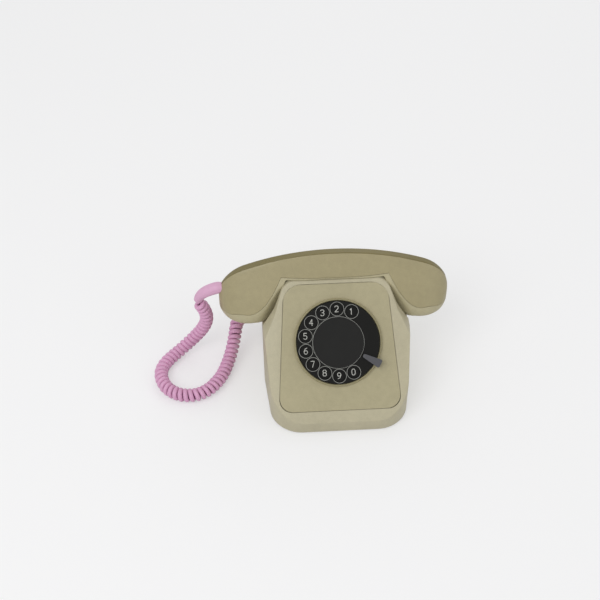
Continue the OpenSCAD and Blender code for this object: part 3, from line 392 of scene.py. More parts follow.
def housing_form(name, low_z, inset=0, slope_inset=0, top_inset=0):
    """The housing's solid form from a given height up, with its faces moved inwards."""
    half, back, front = BODY_W / 2 - inset, BODY_D / 2 - inset, FRONT_W / 2 - inset
    piece = block(name, (-half, -back, low_z), (half, back, BODY_H))
    open_for_editing(piece)
    cut((0, NARROWING_Y, 0), (0, 1, 0))
    pick(piece, "VERT", lambda v: middle(v).y < NARROWING_Y - 1)
    widen(front / half)
    neck_z = NECK_Z - inset * NECK_DROP
    cut((0, 0, SHOULDER_Z - inset * SHOULDER_DROP), (0, 0, 1))
    cut((0, 0, neck_z), (0, 0, 1))
    pick(piece, "EDGE", lambda e: upright(e, front, -back))
    round_edges(FRONT_CORNER_R - inset, 14)
    pick(piece, "EDGE", lambda e: upright(e, half, back))
    round_edges(BACK_CORNER_R - inset, 12)
    for height, width in ((neck_z, NECK_LOW_W / 2 - inset * NECK_LOW_SHIFT),
                          (BODY_H, NECK_W / 2 - inset * NECK_TOP_SHIFT)):
        pick(piece, "VERT", lambda v: near(middle(v).z, height))
        widen(width / half)
    cut((0, -BODY_D / 2, FRONT_H - slope_inset * math.sqrt(2)), SLOPE, remove=True)
    cut(Vector((0, CRADLE_BACK_Y, BODY_H)) - Vector(BACK_SLOPE).normalized() * inset, BACK_SLOPE,
        remove=True)
    if top_inset:
        cut((0, 0, BODY_H - top_inset), (0, 0, 1), remove=True)
    close_editing()
    return piece


housing_shell = housing_form("housing_shell", RIM)
print("Housing block:", len(housing_shell.data.polygons), "faces")

# %% [markdown]
# The cradle block keeps flat sides, but its two upper edges are round enough for a hand that
# reaches under the grip.

# %% Round the cradle's upper corners
CRADLE_CORNER_R = 9
open_for_editing(housing_shell)
pick(housing_shell, "EDGE", lambda e: near(abs(middle(e).x), NECK_W / 2, 1)
     and middle(e).z > BODY_H - 0.1 and near(e.verts[0].co.x, e.verts[1].co.x, 1e-5))
round_edges(CRADLE_CORNER_R, 7)
close_editing()
print("Cradle corners rounded:", len(housing_shell.data.polygons), "faces")

# %% [markdown]
# A moulding has no sharp outer edge, because plastic doesn't fill one and hands wear it. The
# Bevel modifier rounds every edge that turns by more than its angle, and leaves the fine steps of
# the corner curves alone.

# %% Round the outer edges
OUTER_EDGE_R = 3.2
put_modifier(housing_shell, "BEVEL", width=OUTER_EDGE_R * MM, segments=4, limit_method="ANGLE",
             angle_limit=math.radians(24), use_clamp_overlap=True, loop_slide=True)
print("Rounded housing:", len(housing_shell.data.polygons), "faces")

# %% [markdown]
# The works need room, so the block is hollow. A smaller form, made the same way but a wall
# thickness further in, is taken out of it. Its slope and its top lie deeper still, because the
# panel and the cradle need more plastic. The two pockets for the handset's ears are cut from both
# forms.

# %% Hollow the housing and sink the pockets
WALL, SLOPE_WALL, TOP_WALL = 2.8, 4.6, 5.8
EAR_X, POCKET_R, POCKET_Z = 80, 34.5, 64
ABOVE, BEHIND, BELOW = 125, 90, -10


def sink_pockets(piece, grow):
    """Cuts a round pocket, open to the back, at each ear. With grow it is that much larger."""
    reach, low = POCKET_R + grow, POCKET_Z - grow
    for x in (-EAR_X, EAR_X):
        carve(piece, rod("pocket_tool", reach, (x, CRADLE_Y, low), (x, CRADLE_Y, ABOVE), 96))
        carve(piece, block("pocket_tool", (x - reach, CRADLE_Y, low), (x + reach, BEHIND, ABOVE)))


room = housing_form("housing_room", BELOW, inset=WALL, slope_inset=SLOPE_WALL, top_inset=TOP_WALL)
sink_pockets(room, WALL)
sink_pockets(housing_shell, 0)
carve(housing_shell, room)
print("Hollow housing:", len(housing_shell.data.polygons), "faces")

# %% [markdown]
# The face panel lies in a recess of the slope, on a ledge. The tools for both are drawn flat,
# where their corners are easy to round, and then tipped back by 45 degrees onto the slope. The
# cradle's trough is a bar with round ends, and the bores are plain drills.

# %% Sink the panel's recess, the cradle's trough and the small holes
DIAL_Y, DIAL_Z = -28.75, 66.75
PANEL_LOW_HALF, PANEL_TOP_HALF, PANEL_LOW_Y, PANEL_TOP_Y = 57.5, 48.5, -63.6, 54.9
PANEL_LOW_R, PANEL_TOP_R = 13, 16
PANEL_GAP, PANEL_DEPTH, LEDGE, OPENING_REACH = 0.12, 2.4, 4, 12
TROUGH_HALF, TROUGH_R, TROUGH_Z = 43.5, 11, 105

# Radius, start and end of each bore: two for the plungers, the cord's gland and the inlet
BORES = [(4.1, (-24.5, CRADLE_Y, 95), (-24.5, CRADLE_Y, 120)),
         (4.1, (24.5, CRADLE_Y, 95), (24.5, CRADLE_Y, 120)),
         (4.7, (-75, 51.5, 27), (-60, 51.5, 27)),
         (5.1, (30, 72, 13), (30, 90, 13))]


def panel_tool(inset, low, high):
    """A prism with the outline of the face panel, tipped onto the sloping face."""
    half_low, half_high = PANEL_LOW_HALF - inset, PANEL_TOP_HALF - inset
    tool = block("panel_tool", (-half_low, PANEL_LOW_Y + inset, low),
                 (half_low, PANEL_TOP_Y - inset, high))
    open_for_editing(tool)
    pick(tool, "VERT", lambda v: middle(v).y > 0)
    widen(half_high / half_low)
    for radius, top in ((PANEL_LOW_R, False), (PANEL_TOP_R, True)):
        pick(tool, "EDGE", lambda e: near(middle(e).z, (low + high) / 2)
             and (middle(e).y > 0) == top)
        round_edges(radius - inset, 10)
    close_editing()
    tool.rotation_euler = (math.radians(45), 0, 0)
    tool.location = mm(0, DIAL_Y, DIAL_Z)
    bpy.ops.object.transform_apply(location=True, rotation=True, scale=True)
    return tool


def round_ended_bar(name, half, radius, low, high):
    """A flat bar with round ends, lying along the cradle. A bevel needs a hair of flat end."""
    bar = block(name, (-half, CRADLE_Y - radius, low), (half, CRADLE_Y + radius, high))
    open_for_editing(bar)
    pick(bar, "EDGE", lambda e: near(middle(e).z, (low + high) / 2))
    round_edges(radius - 0.1, 12)
    close_editing()
    return bar


carve(housing_shell, panel_tool(-PANEL_GAP, -PANEL_DEPTH, OPENING_REACH))
carve(housing_shell, panel_tool(LEDGE, -OPENING_REACH, OPENING_REACH))
carve(housing_shell, round_ended_bar("trough_tool", TROUGH_HALF, TROUGH_R, TROUGH_Z, ABOVE))
for radius, start, end in BORES:
    carve(housing_shell, rod("hole_tool", radius, start, end, 32))
smooth(housing_shell, 28)
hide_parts("housing")
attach(housing_shell, "body")
print("Finished housing:", len(housing_shell.data.polygons), "faces")

# %% [markdown]
# ## Handset
# The handset is one long arched form with a ridge-roof section, fat round ends for the ear and the
# mouth, and soft edges. A ring with the section's outline is extruded from end to end, and at each
# station the new ring is fitted to the width, the top and the bottom that the form has there.

# %% Stations of the handset
GRIP_HALF, EAR_R, EAR_LOW, GRIP_LOW, CREST_Z, ARCH_R = 15.5, 29.5, 67, 108.3, 130.5, 230
HANDSET_END = EAR_X + EAR_R

# Length, depth and roundness of the curves at each end, where 2 would be an ellipse
CREST_END, CREST_FALL, CREST_CURVE = 26, 21, 2.3
LIP_END, LIP_RISE, LIP_CURVE = 15, 3, 2.2

# Places between which the sides swell to the ears and the underside drops to them
SWELL_FROM, SWELL_TO, DROP_FROM, DROP_TO = 44, 75, 45, 59

# Where a wall leans, its inside moves further than the wall is thick.
ROOF_LEAN, NECK_LEAN = 1.2, 1.4
THINNEST, NARROWEST = 0.8, 0.4


def crest(x):
    """Height of the crest, which follows an arch and rounds down at both ends."""
    out = max(0.0, abs(x) - (HANDSET_END - CREST_END)) / CREST_END
    fall = CREST_FALL * (1 - math.sqrt(max(0.0, 1 - out ** CREST_CURVE)))
    return CREST_Z - ARCH_R + math.sqrt(ARCH_R ** 2 - x ** 2) - fall


def station(x, inset):
    """Half width, top and bottom of the handset at a distance x from its middle."""
    x = min(abs(x), HANDSET_END - 0.01)
    half = EAR_R * math.sqrt(1 - (max(0.0, x - EAR_X) / EAR_R) ** 2)
    if x < EAR_X:
        half = GRIP_HALF + (EAR_R - GRIP_HALF) * eased(SWELL_FROM, SWELL_TO, x)
    lip = max(0.0, x - (HANDSET_END - LIP_END)) / LIP_END
    low = GRIP_LOW + (EAR_LOW - GRIP_LOW) * eased(DROP_FROM, DROP_TO, x - inset * NECK_LEAN)
    low += LIP_RISE * (1 - math.sqrt(max(0.0, 1 - lip ** LIP_CURVE))) + inset
    top = crest(x) - inset * ROOF_LEAN
    if top - low < THINNEST:
        top, low = (top + low) / 2 + THINNEST / 2, (top + low) / 2 - THINNEST / 2
    return max(half - inset, NARROWEST), top, low


# The stations lie close together where the form changes fast.
ends = [EAR_X + EAR_R * math.sin(math.radians(a)) for a in range(0, 85, 6)]
half_stations = [0, 8, 16, 24, 32, 39] + [44 + k * 0.8 for k in range(24)]
half_stations += [64, 66, 68, 70, 73, 76.5] + ends + [HANDSET_END - 0.12]
stations = [-x for x in half_stations[::-1]] + half_stations[1:]
print("Handset stations:", len(stations))

# %% [markdown]
# Each section is drawn as straight lines from corner to corner, and the corners are then rounded
# with short curves. Both covers share this outline, inside and out, so that they meet exactly.

# %% Outline of the section
ROOF, CREST_FLAT = math.tan(math.radians(56)), 2.8
CREST_R, GRIP_EAVE_R, EAR_EAVE_R, BOTTOM_R = 1.2, 1.5, 7.5, 5.5
ROOF_SHARE = 0.93    # most of the height that the roof may take
CORNER_SHARE = 0.48  # most of a line that one rounded corner may take
CORNER_STEPS = 8


def half_outline(x, inset, highest_low=math.inf):
    """Right half of the section from the middle of the crest down to the middle of the bottom."""
    half, top, low = station(x, inset)
    low = min(low, highest_low)
    flat, height = min(CREST_FLAT, half * 0.5), top - low
    half = min(half, flat + height * ROOF_SHARE / ROOF)
    eave = top - (half - flat) * ROOF
    eave_r = GRIP_EAVE_R + (EAR_EAVE_R - GRIP_EAVE_R) * eased(52, 76, abs(x))
    corners = [(0, top, 0), (flat, top, min(CREST_R, flat * 0.5)), (half, eave, eave_r),
               (half, low, min(BOTTOM_R, half * 0.4, height * 0.25)), (0, low, 0)]
    line = [Vector(corners[0][:2])]
    for i in (1, 2, 3):
        here = Vector(corners[i][:2])
        before, after = Vector(corners[i - 1][:2]) - here, Vector(corners[i + 1][:2]) - here
        reach = min(corners[i][2], before.length * CORNER_SHARE, after.length * CORNER_SHARE)
        start, end = here + before.normalized() * reach, here + after.normalized() * reach
        line += [(1 - f) ** 2 * start + 2 * f * (1 - f) * here + f ** 2 * end
                 for f in (k / CORNER_STEPS for k in range(CORNER_STEPS + 1))]
    return line + [Vector(corners[4][:2])]


# %% [markdown]
# The covers meet at a line that is low round the ears and climbs to the eaves of the grip. Each
# cover's ring runs along its stretch of the outside and back along the inside of its wall.

# %% Rings of the two covers
COVER_GAP, COVER_WALL, COVER_STEPS = 0.15, 2.4, 22
PARTING_X, PARTING_Z, PARTING_CURVE, PARTING_OVER_GRIP = 84, 78, 0.029, 2.4
TIP_DROP, TIP_DROP_FROM, TIP_DROP_TO = 4.5, 86, 108
TIP_X = 106.5  # beyond it the covers have no room inside


def parting(x):
    """Height of the line where the covers meet: low at the tips, and up in a curve to the grip."""
    inward = max(0.0, PARTING_X - abs(x))
    level = min(GRIP_LOW + PARTING_OVER_GRIP, PARTING_Z + PARTING_CURVE * inward ** 2)
    return level - TIP_DROP * eased(TIP_DROP_FROM, TIP_DROP_TO, abs(x))


def part_of_outline(line, level, above):
    """The stretch of a half outline above or below a level, in even steps."""
    stretch = []
    for a, b in zip(line, line[1:]):
        if (a.y > level) == above:
            stretch.append(a)
        if (a.y > level) != (b.y > level):
            stretch.append(a.lerp(b, (level - a.y) / (b.y - a.y)))
    if not above:
        stretch.append(line[-1])
    return even_points(stretch, COVER_STEPS)[0] if len(stretch) > 1 else None


def cover_ring(x, above):
    """Points round the section of one cover: along its outside and back along its inside."""
    level = parting(x) + (COVER_GAP if above else -COVER_GAP)
    outside = part_of_outline(half_outline(x, 0), level, above)
    inside = None
    if abs(x) < TIP_X:
        highest_low = level - 6 if above else math.inf
        inside = part_of_outline(half_outline(x, COVER_WALL, highest_low), level, above)
    if inside is None or abs(inside[0].y - inside[-1].y) < 0.3:
        rim = outside[-1] if above else outside[0]
        reach = max(rim.x - COVER_WALL, rim.x * 0.3)
        shares = [k / COVER_STEPS for k in range(COVER_STEPS + 1)]
        inside = [Vector((reach * (f if above else 1 - f), level)) for f in shares]
    half_ring = outside + inside[::-1] if above else outside[::-1] + inside
    ring = half_ring + [Vector((-p.x, p.y)) for p in half_ring[-2:0:-1]]
    return [(x, CRADLE_Y + p.x, p.y) for p in ring]


# %% [markdown]
# An extrude makes a new cap face whose points hang on the old ones by one edge each. Following
# those edges keeps every point in its own line from end to end, so no face comes out folded.

# %% Extrude each cover from end to end
def extrude_along(name, rings):
    """Fits a circle's points to the first ring, then extrudes it through the others."""
    bpy.ops.object.select_all(action="DESELECT")
    bpy.ops.mesh.primitive_circle_add(vertices=len(rings[0]), radius=0.02, fill_type="NGON")
    piece = bpy.context.object
    piece.name = name
    open_for_editing(piece)
    bpy.ops.mesh.select_mode(type="FACE")
    bpy.ops.mesh.select_all(action="SELECT")
    for i, ring in enumerate(rings):
        if i:
            bpy.ops.mesh.extrude_region_move(TRANSFORM_OT_translate={"value": mm(1, 0, 0)})
        mesh = bmesh.from_edit_mesh(piece.data)
        mesh.verts.index_update()
        mesh.verts.ensure_lookup_table()
        cap = next(face for face in mesh.faces if face.select)
        if i:
            fresh = set(cap.verts)
            order = [next(v.index for e in mesh.verts[k].link_edges for v in e.verts if v in fresh)
                     for k in order]
        else:
            order = [v.index for v in cap.verts]
        for k, point in zip(order, ring):
            mesh.verts[k].co = mm(*point)
        bmesh.update_edit_mesh(piece.data)
    bpy.ops.mesh.select_all(action="SELECT")
    bpy.ops.mesh.normals_make_consistent(inside=False)
    if bmesh.from_edit_mesh(piece.data).calc_volume(signed=True) < 0:
        bpy.ops.mesh.flip_normals()
    close_editing()
    return piece


upper_shell = extrude_along("handset_upper_cover", [cover_ring(x, True) for x in stations])
lower_shell = extrude_along("handset_lower_cover", [cover_ring(x, False) for x in stations])
for cover in (upper_shell, lower_shell):
    print(cover.name, "in millimetres:", [round(d / MM, 1) for d in cover.dimensions])

# %% [markdown]
# The lower cover has a low belly that lies in the cradle's trough, with two countersunk holes for
# the screws. Cutting holes is safest on a simple shape, so the belly is drilled before it joins the
# cover. All the drills of one piece are joined first, and one cut makes all the holes.

# %% Belly under the grip
BELLY_HALF, BELLY_R, BELLY_LOW, BELLY_TOP, SCREW_X = 41.5, 9, 105.5, 108.6, 35.5
belly = round_ended_bar("belly", BELLY_HALF, BELLY_R, BELLY_LOW, BELLY_TOP)
open_for_editing(belly)
pick(belly, "EDGE", lambda e: middle(e).z < BELLY_LOW + 0.1)
round_edges(0.6, 3)
close_editing()
# A wide countersink that stops inside the belly, and a narrow hole right through it
for radius, top in ((2.9, 107.7), (1.5, 112)):
    carve(belly, joined([rod("drill", radius, (x, CRADLE_Y, 100), (x, CRADLE_Y, top), 32)
                         for x in (-SCREW_X, SCREW_X)]))
lower_shell = joined([lower_shell, belly])
for cover, node in ((upper_shell, "handset_upper_shell"), (lower_shell, "handset_lower_shell")):
    smooth(cover, 34)
    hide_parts(node)
    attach(cover, "handset")
    print(cover.name, len(cover.data.polygons), "faces")

# %% [markdown]
# Under each end sits a thin perforated disc with dark cloth behind it, which lets the sound
# through: one hole and two rings at the mouth, one hole and one ring at the ear.

# %% Discs for the sound
DISC_R, DISC_LOW, DISC_TOP, CLOTH_R, CLOTH_LOW, CLOTH_TOP = 20, 66.2, 67.4, 16, 66.85, 67.3
discs, cloths = [], []
for name, x, radius, rings in (("mouth_disc", -EAR_X, 1.2, ((0, 1), (6, 6), (12, 12))),
                               ("ear_disc", EAR_X, 1.5, ((0, 1), (8, 6)))):
    disc = rod(name, DISC_R, (x, CRADLE_Y, DISC_LOW), (x, CRADLE_Y, DISC_TOP), 72)
    open_for_editing(disc)
    pick(disc, "EDGE", lambda e: middle(e).z < DISC_LOW + 0.1)
    round_edges(0.6, 3)
    close_editing()
    drills = []
    for ring_r, count in rings:
        for k in range(count):
            turn = math.tau * k / count
            at = (x + ring_r * math.cos(turn), CRADLE_Y + ring_r * math.sin(turn))
            drills.append(rod("drill", radius, (*at, 60), (*at, 70), 16))
    carve(disc, joined(drills))
    smooth(disc, 32)
    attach(disc, "handset")
    discs.append(disc)
    cloths.append(rod("sound_cloth", CLOTH_R, (x, CRADLE_Y, CLOTH_LOW),
                      (x, CRADLE_Y, CLOTH_TOP), 48))
    print(name, len(disc.data.polygons), "faces")
sound_cloth = joined(cloths)
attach(sound_cloth, "handset")

# %% [markdown]
# The dark strip along the crest is a separate thin piece sunk into the cover. Its dark olive colour
# is painted shade for the back of the crest, which turns away from the light. It follows the arch
# and runs out to nothing where the ends round down.

# %% Strip of painted shade on the crest
STRIP_HALF, STRIP_SINK, STRIP_RISE, TOP_SHARE = 3.1, 1.0, 0.28, 0.86
TAPER_X, TAPER_LENGTH, TAPER_LEAST = 84, 22.6, 0.03
STRIP_TIPS = [105.5, 106.1, 106.5]


def strip_ring(x):
    """Points round the strip's section, square to the crest."""
    slope = (crest(x + 0.05) - crest(x - 0.05)) / 0.1
    ahead = Vector((1, slope)).normalized()
    out = Vector((-ahead.y, ahead.x))
    taper = max(0.0, abs(x) - TAPER_X) / TAPER_LENGTH
    half = STRIP_HALF * math.sqrt(max(TAPER_LEAST, 1 - taper ** 2))
    section = ((-half, -STRIP_SINK), (half, -STRIP_SINK), (half, 0.0),
               (half * TOP_SHARE, STRIP_RISE), (-half * TOP_SHARE, STRIP_RISE), (-half, 0.0))
    return [(x + out.x * rise, CRADLE_Y + y, crest(x) + out.y * rise) for y, rise in section]


strip_stations = [-x for x in STRIP_TIPS[::-1]]
strip_stations += [x for x in stations if abs(x) < STRIP_TIPS[0]] + STRIP_TIPS
crest_shade_strip = extrude_along("crest_shade_strip", [strip_ring(x) for x in strip_stations])
smooth(crest_shade_strip, 30)
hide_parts("handset_trim_strip")
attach(crest_shade_strip, "handset")
print("Trim strip:", len(crest_shade_strip.data.polygons), "faces")

# %% [markdown]
# ## Table and light
# A pale table under soft, even light shows the mouldings best. Together the world and the lamps
# light a surface that faces them at about its own colour.

# %% Table
bpy.ops.mesh.primitive_plane_add(size=8)
table = bpy.context.object
table.name = "table_top"
print("Table in metres:", [round(d, 1) for d in table.dimensions])

# %% [markdown]
# The main lamp stands at the left, like a window. Two weak ones, from the right and from behind,
# keep the shaded sides readable. A large lamp throws a soft shadow, so all of them are wide.

# %% Lamps
LAMP_AIM = Vector((0, 0, 0.05))


def soft_lamp(name, place, width, share):
    """A square lamp aimed at the telephone. share is the part of a colour that it lights."""
    bpy.ops.object.light_add(type="AREA", location=place)
    lamp = bpy.context.object
    lamp.name = name
    aim = LAMP_AIM - Vector(place)
    lamp.rotation_euler = aim.to_track_quat("-Z", "Y").to_euler()
    lamp.data.shape = "SQUARE"
    lamp.data.size = width
    lamp.data.energy = share * math.pi ** 2 * aim.length ** 2
    print(name, round(lamp.data.energy, 2), "W")


soft_lamp("window_lamp", (-0.9, -1.0, 1.5), 1.3, 0.34)
soft_lamp("room_lamp", (1.3, -0.7, 1.1), 1.2, 0.1)
soft_lamp("back_lamp", (0.3, 1.4, 1.3), 1.2, 0.12)

# %% [markdown]
# ## Writing materials as sums
# Node trees grow fast, so this small class lets a socket be used in plain Python sums. Each sum
# adds its Math node behind the scenes.

# %% Sums on sockets
class Signal:
    """An output socket of a recipe that sums can be written on."""

    def __init__(self, recipe, socket):
        self.recipe, self.socket = recipe, socket

    def maths(self, operation, *values, clamp=False):
        settings = {"operation": operation, "use_clamp": clamp}
        return self.recipe.node("ShaderNodeMath", settings, dict(enumerate(values)))

    def __add__(self, other):
        return self.maths("ADD", self, other)

    __radd__ = __add__

    def __sub__(self, other):
        return self.maths("SUBTRACT", self, other)

    def __rsub__(self, other):
        return self.maths("SUBTRACT", other, self)

    def __mul__(self, other):
        return self.maths("MULTIPLY", self, other)

    __rmul__ = __mul__

    def __truediv__(self, other):
        return self.maths("DIVIDE", self, other)

    def root(self):
        return self.maths("SQRT", self.maths("MAXIMUM", self, 0.0))

    def limited(self):
        """The same value kept between 0 and 1."""
        return self.maths("ADD", self, 0.0, clamp=True)


class Recipe:
    """The node tree of one finish, or of the light from all round."""

    def __init__(self, name, kept_in=bpy.data.materials):
        self.owner = kept_in.new(name)
        self.owner.use_nodes = True
        self.tree = self.owner.node_tree
        self.tree.nodes.clear()

    def node(self, kind, settings=None, sockets=None, output=0):
        """Adds a node: its settings first, then the values or links of its sockets."""
        made = self.tree.nodes.new(kind)
        for key, value in (settings or {}).items():
            setattr(made, key, value)
        for key, value in (sockets or {}).items():
            if isinstance(value, Signal):
                self.tree.links.new(value.socket, made.inputs[key])
            else:
                made.inputs[key].default_value = value
        return Signal(self, made.outputs[output]) if made.outputs else None

    def place(self):
        return self.node("ShaderNodeTexCoord", output="Object")

    def noise(self, scale, detail=3.0, place=None):
        """Soft random patches, so many to the metre, with values round 0."""
        sockets = {"Vector": place or self.place(), "Scale": scale, "Detail": detail}
        return self.node("ShaderNodeTexNoise", {}, sockets) - 0.5

    def mix(self, share, first, second):
        """A blend of two colours, which are sockets 6 and 7 of this node, with output 2."""
        sockets = {0: share, 6: first, 7: second}
        return self.node("ShaderNodeMix", {"data_type": "RGBA"}, sockets, output=2)

    def vectors(self, operation, sockets, output="Vector"):
        return self.node("ShaderNodeVectorMath", {"operation": operation}, sockets, output)

    def shade(self, colour, tone):
        """A colour made lighter or darker by a signal."""
        return self.vectors("SCALE", {0: colour[:3], "Scale": tone})

    def bump(self, strength, distance, height, **more):
        """The normal of a surface that rises and falls with a signal."""
        sockets = {"Strength": strength, "Distance": distance, "Height": height, **more}
        return self.node("ShaderNodeBump", {}, sockets)

    def surface(self, **sockets):
        """The finished surface. Names of sockets are written with underscores."""
        shader = self.node("ShaderNodeBsdfPrincipled", {},
                           {key.replace("_", " "): value for key, value in sockets.items()})
        self.node("ShaderNodeOutputMaterial", {}, {"Surface": shader})
        return self.owner


def paint(red, green, blue):
    """A colour mixed on screen, 0 to 255, as the linear values that a shader works with."""
    linear = [((c / 255 + 0.055) / 1.055) ** 2.4 if c > 10 else c / 255 / 12.92
              for c in (red, green, blue)]
    return (*linear, 1.0)


# %% [markdown]
# ## Moulded plastic
# Old phone plastic is smooth but not perfect: the colour has soft clouds and a fine grain, the
# moulding is slightly wavy, and edges are rounded and polished paler by hands. The Bevel node
# rounds the edges that the light sees, and comparing its normal with the true one finds the edges.

# %% Plastic finishes
def rounded_edges(recipe, radius):
    """The normal with rounded edges, and a mask that is 1 on the edges."""
    soft = recipe.node("ShaderNodeBevel", {"samples": 6}, {"Radius": radius})
    true = recipe.node("ShaderNodeNewGeometry", output="True Normal")
    match = recipe.vectors("DOT_PRODUCT", {0: soft, 1: true}, output="Value")
    return soft, ((1 - match) * 6).limited()


def moulded_plastic(name, colour, roughness=0.4, grain=1.0, edge=0.0009, wear=0.12, gloss=0.45):
    """Moulded plastic. edge is the radius of its edges, and wear says how much paler they are."""
    recipe = Recipe(name)
    clouds, mottle = recipe.noise(24, 4), recipe.noise(190, 3)
    speckle = recipe.noise(1300, 2)
    soft, rim = rounded_edges(recipe, edge)
    tone = 1 + (clouds * 0.16 + mottle * 0.16 + speckle * 0.22) * grain + rim * wear
    waves = recipe.noise(60, 2) * 0.6 + speckle * 0.12
    return recipe.surface(Base_Color=recipe.shade(colour, tone),
                          Roughness=roughness + mottle * 0.18 - rim * 0.06,
                          Specular_IOR_Level=gloss,
                          Normal=recipe.bump(0.25, 0.0004, waves, Normal=soft))


# One beige plastic in lit and shaded copies: the face panel and the upper cover are darker as
# painted shade, and the lower cover is lighter than the upper one as painted light.
housing_plastic = moulded_plastic("housing_plastic", paint(182, 175, 148))
face_plastic = moulded_plastic("face_plastic", paint(170, 162, 130))
handset_plastic = moulded_plastic("handset_plastic", paint(160, 150, 115))
lower_plastic_painted_light = moulded_plastic("lower_plastic_painted_light", paint(176, 168, 136))
# Dark olive for the crest strip: painted shade for the back of the crest, which turns away from the
# light.
olive_plastic = moulded_plastic("olive_plastic", paint(119, 109, 69), roughness=0.45)
dial_plastic = moulded_plastic("dial_plastic", paint(18, 18, 16), roughness=0.3, wear=1.2,
                               edge=0.0004, grain=0.8, gloss=0.16)
dark_plastic = moulded_plastic("dark_plastic", paint(40, 40, 40), roughness=0.42, edge=0.0004,
                               gloss=0.2)
stop_paint = moulded_plastic("stop_paint", paint(74, 74, 78), roughness=0.4, edge=0.0005, wear=0.5)
digit_ink = moulded_plastic("digit_ink", paint(205, 205, 198), roughness=0.6, edge=0.0001, wear=0)
print("Plastics and paints:", len(bpy.data.materials))

# %% [markdown]
# The lips of the holes and the rim of the cap are painted pale: a painted highlight on their edges.
# The height over the sloping face and the distance from the dial's axis tell where those edges are.

# %% Finishes of the dial
WHEEL_TOP, CAP_RIM_R = 5.6, 23.75


def on_dial(recipe):
    """Distance from the dial's axis and height over the sloping face, in millimetres."""
    centre = recipe.vectors("SUBTRACT", {0: recipe.place(), 1: mm(0, DIAL_Y, DIAL_Z)})
    rise = recipe.vectors("DOT_PRODUCT", {0: centre, 1: Vector(SLOPE).normalized()}, "Value")
    height = rise * (1 / MM)
    reach = recipe.vectors("LENGTH", {0: centre}, "Value") * (1 / MM)
    return (reach * reach - height * height).root(), height


def step_up(value, edge, width):
    """0 below the edge, 1 above it, over a short width."""
    return ((value - edge) / width).limited()


def dial_finish(name, colour, pale, roughness, gloss, highlight_mask_of):
    """A dark moulding with a pale painted highlight where the mask is 1."""
    recipe = Recipe(name)
    clouds, grain = recipe.noise(60, 3), recipe.noise(1500, 2)
    mask = highlight_mask_of(*on_dial(recipe))
    soft, rim = rounded_edges(recipe, 0.0003)
    tone = 1 + clouds * 0.25 + grain * 0.3 + rim * 0.8
    normal = recipe.bump(0.2, 0.0002, grain * 0.3 + clouds, Normal=soft)
    return recipe.surface(Base_Color=recipe.mix(mask, recipe.shade(colour, tone), pale),
                          Roughness=roughness + clouds * 0.1, Specular_IOR_Level=gloss,
                          Normal=normal)


# Painted highlight: the lips of the finger holes and the rim of the cap are mixed to a pale grey.
wheel_plastic_painted_highlight = dial_finish("wheel_plastic_painted_highlight", paint(18, 18, 16), paint(150, 150, 145), 0.3, 0.16,
                            lambda across, height: step_up(height, WHEEL_TOP + 0.2, 0.05))
cap_plastic = dial_finish("cap_plastic", paint(34, 34, 33), paint(170, 170, 165), 0.42, 0.12,
                          lambda across, height: step_up(across, CAP_RIM_R, 0.1))
# The bezel is darker beige than the panel: painted shade for the groove round the dial.
ring_plastic_painted_shade = moulded_plastic("ring_plastic_painted_shade", paint(150, 142, 108), edge=0.0005)
print("Finishes so far:", len(bpy.data.materials))

# %% [markdown]
# ## Rubber and vinyl
# The cord is soft vinyl and the feet are rubber. Both shine less than plastic, and a faint bloom
# makes their colour uneven in patches.

# %% Rubber finishes
def soft_rubber(name, colour, roughness, bloom):
    """Rubber or soft vinyl: an even colour with a faint bloom and fine moulding grain."""
    recipe = Recipe(name)
    patches, grain = recipe.noise(90, 3), recipe.noise(2200, 2)
    return recipe.surface(Base_Color=recipe.shade(colour, 1 + patches * bloom + grain * 0.1),
                          Roughness=roughness + patches * 0.2, Specular_IOR_Level=0.4,
                          Normal=recipe.bump(0.3, 0.0001, grain))


cord_vinyl = soft_rubber("cord_vinyl", paint(216, 164, 197), 0.42, 0.14)
boot_vinyl = soft_rubber("boot_vinyl", paint(216, 170, 199), 0.46, 0.12)
foot_rubber = soft_rubber("foot_rubber", paint(34, 34, 34), 0.8, 0.5)
print("Finishes so far:", len(bpy.data.materials))

# %% [markdown]
# ## Metals
# The works inside are stamped from plated steel and brass. Plating varies softly in roughness, and
# fine scratches catch the light.

# %% Metal finishes
def worked_metal(name, colour, roughness):
    """Plated or bare metal, with scratches drawn out along x."""
    recipe = Recipe(name)
    stretched = recipe.node("ShaderNodeMapping", {}, {"Vector": recipe.place(),
                                                      "Scale": (60, 900, 900)})
    scratches = recipe.noise(1, 4, stretched)
    patches = recipe.noise(120, 3)
    soft, rim = rounded_edges(recipe, 0.0003)
    return recipe.surface(Base_Color=recipe.shade(colour, 1 + patches * 0.2 + rim * 0.15),
                          Metallic=1.0, Roughness=roughness + patches * 0.25 + scratches * 0.2,
                          Normal=recipe.bump(0.2, 0.0001, scratches, Normal=soft))


plated_steel = worked_metal("plated_steel", paint(196, 198, 202), 0.36)
raw_brass = worked_metal("raw_brass", paint(214, 182, 110), 0.32)
spun_aluminium = worked_metal("spun_aluminium", paint(205, 206, 208), 0.4)
print("Finishes so far:", len(bpy.data.materials))

# %% [markdown]
# The board is a brown laminate, the coil is dipped in lacquer and the capacitor's can is painted.
# All three are smooth and slightly uneven, so the recipe for plastic serves them too.

# %% Finishes of the inner works
board_laminate = moulded_plastic("board_laminate", paint(150, 108, 62), roughness=0.55, edge=0.0003)
coil_lacquer = moulded_plastic("coil_lacquer", paint(150, 62, 34), roughness=0.3, edge=0.0003)
can_paint = moulded_plastic("can_paint", paint(190, 160, 80), roughness=0.4, edge=0.0004)
print("Finishes in all:", len(bpy.data.materials))

# %% [markdown]
# ## Dressing the frame
# Each part of the frame keeps its shape and gets the finish of its real material. The new pieces
# get the finish of the part whose place they take.

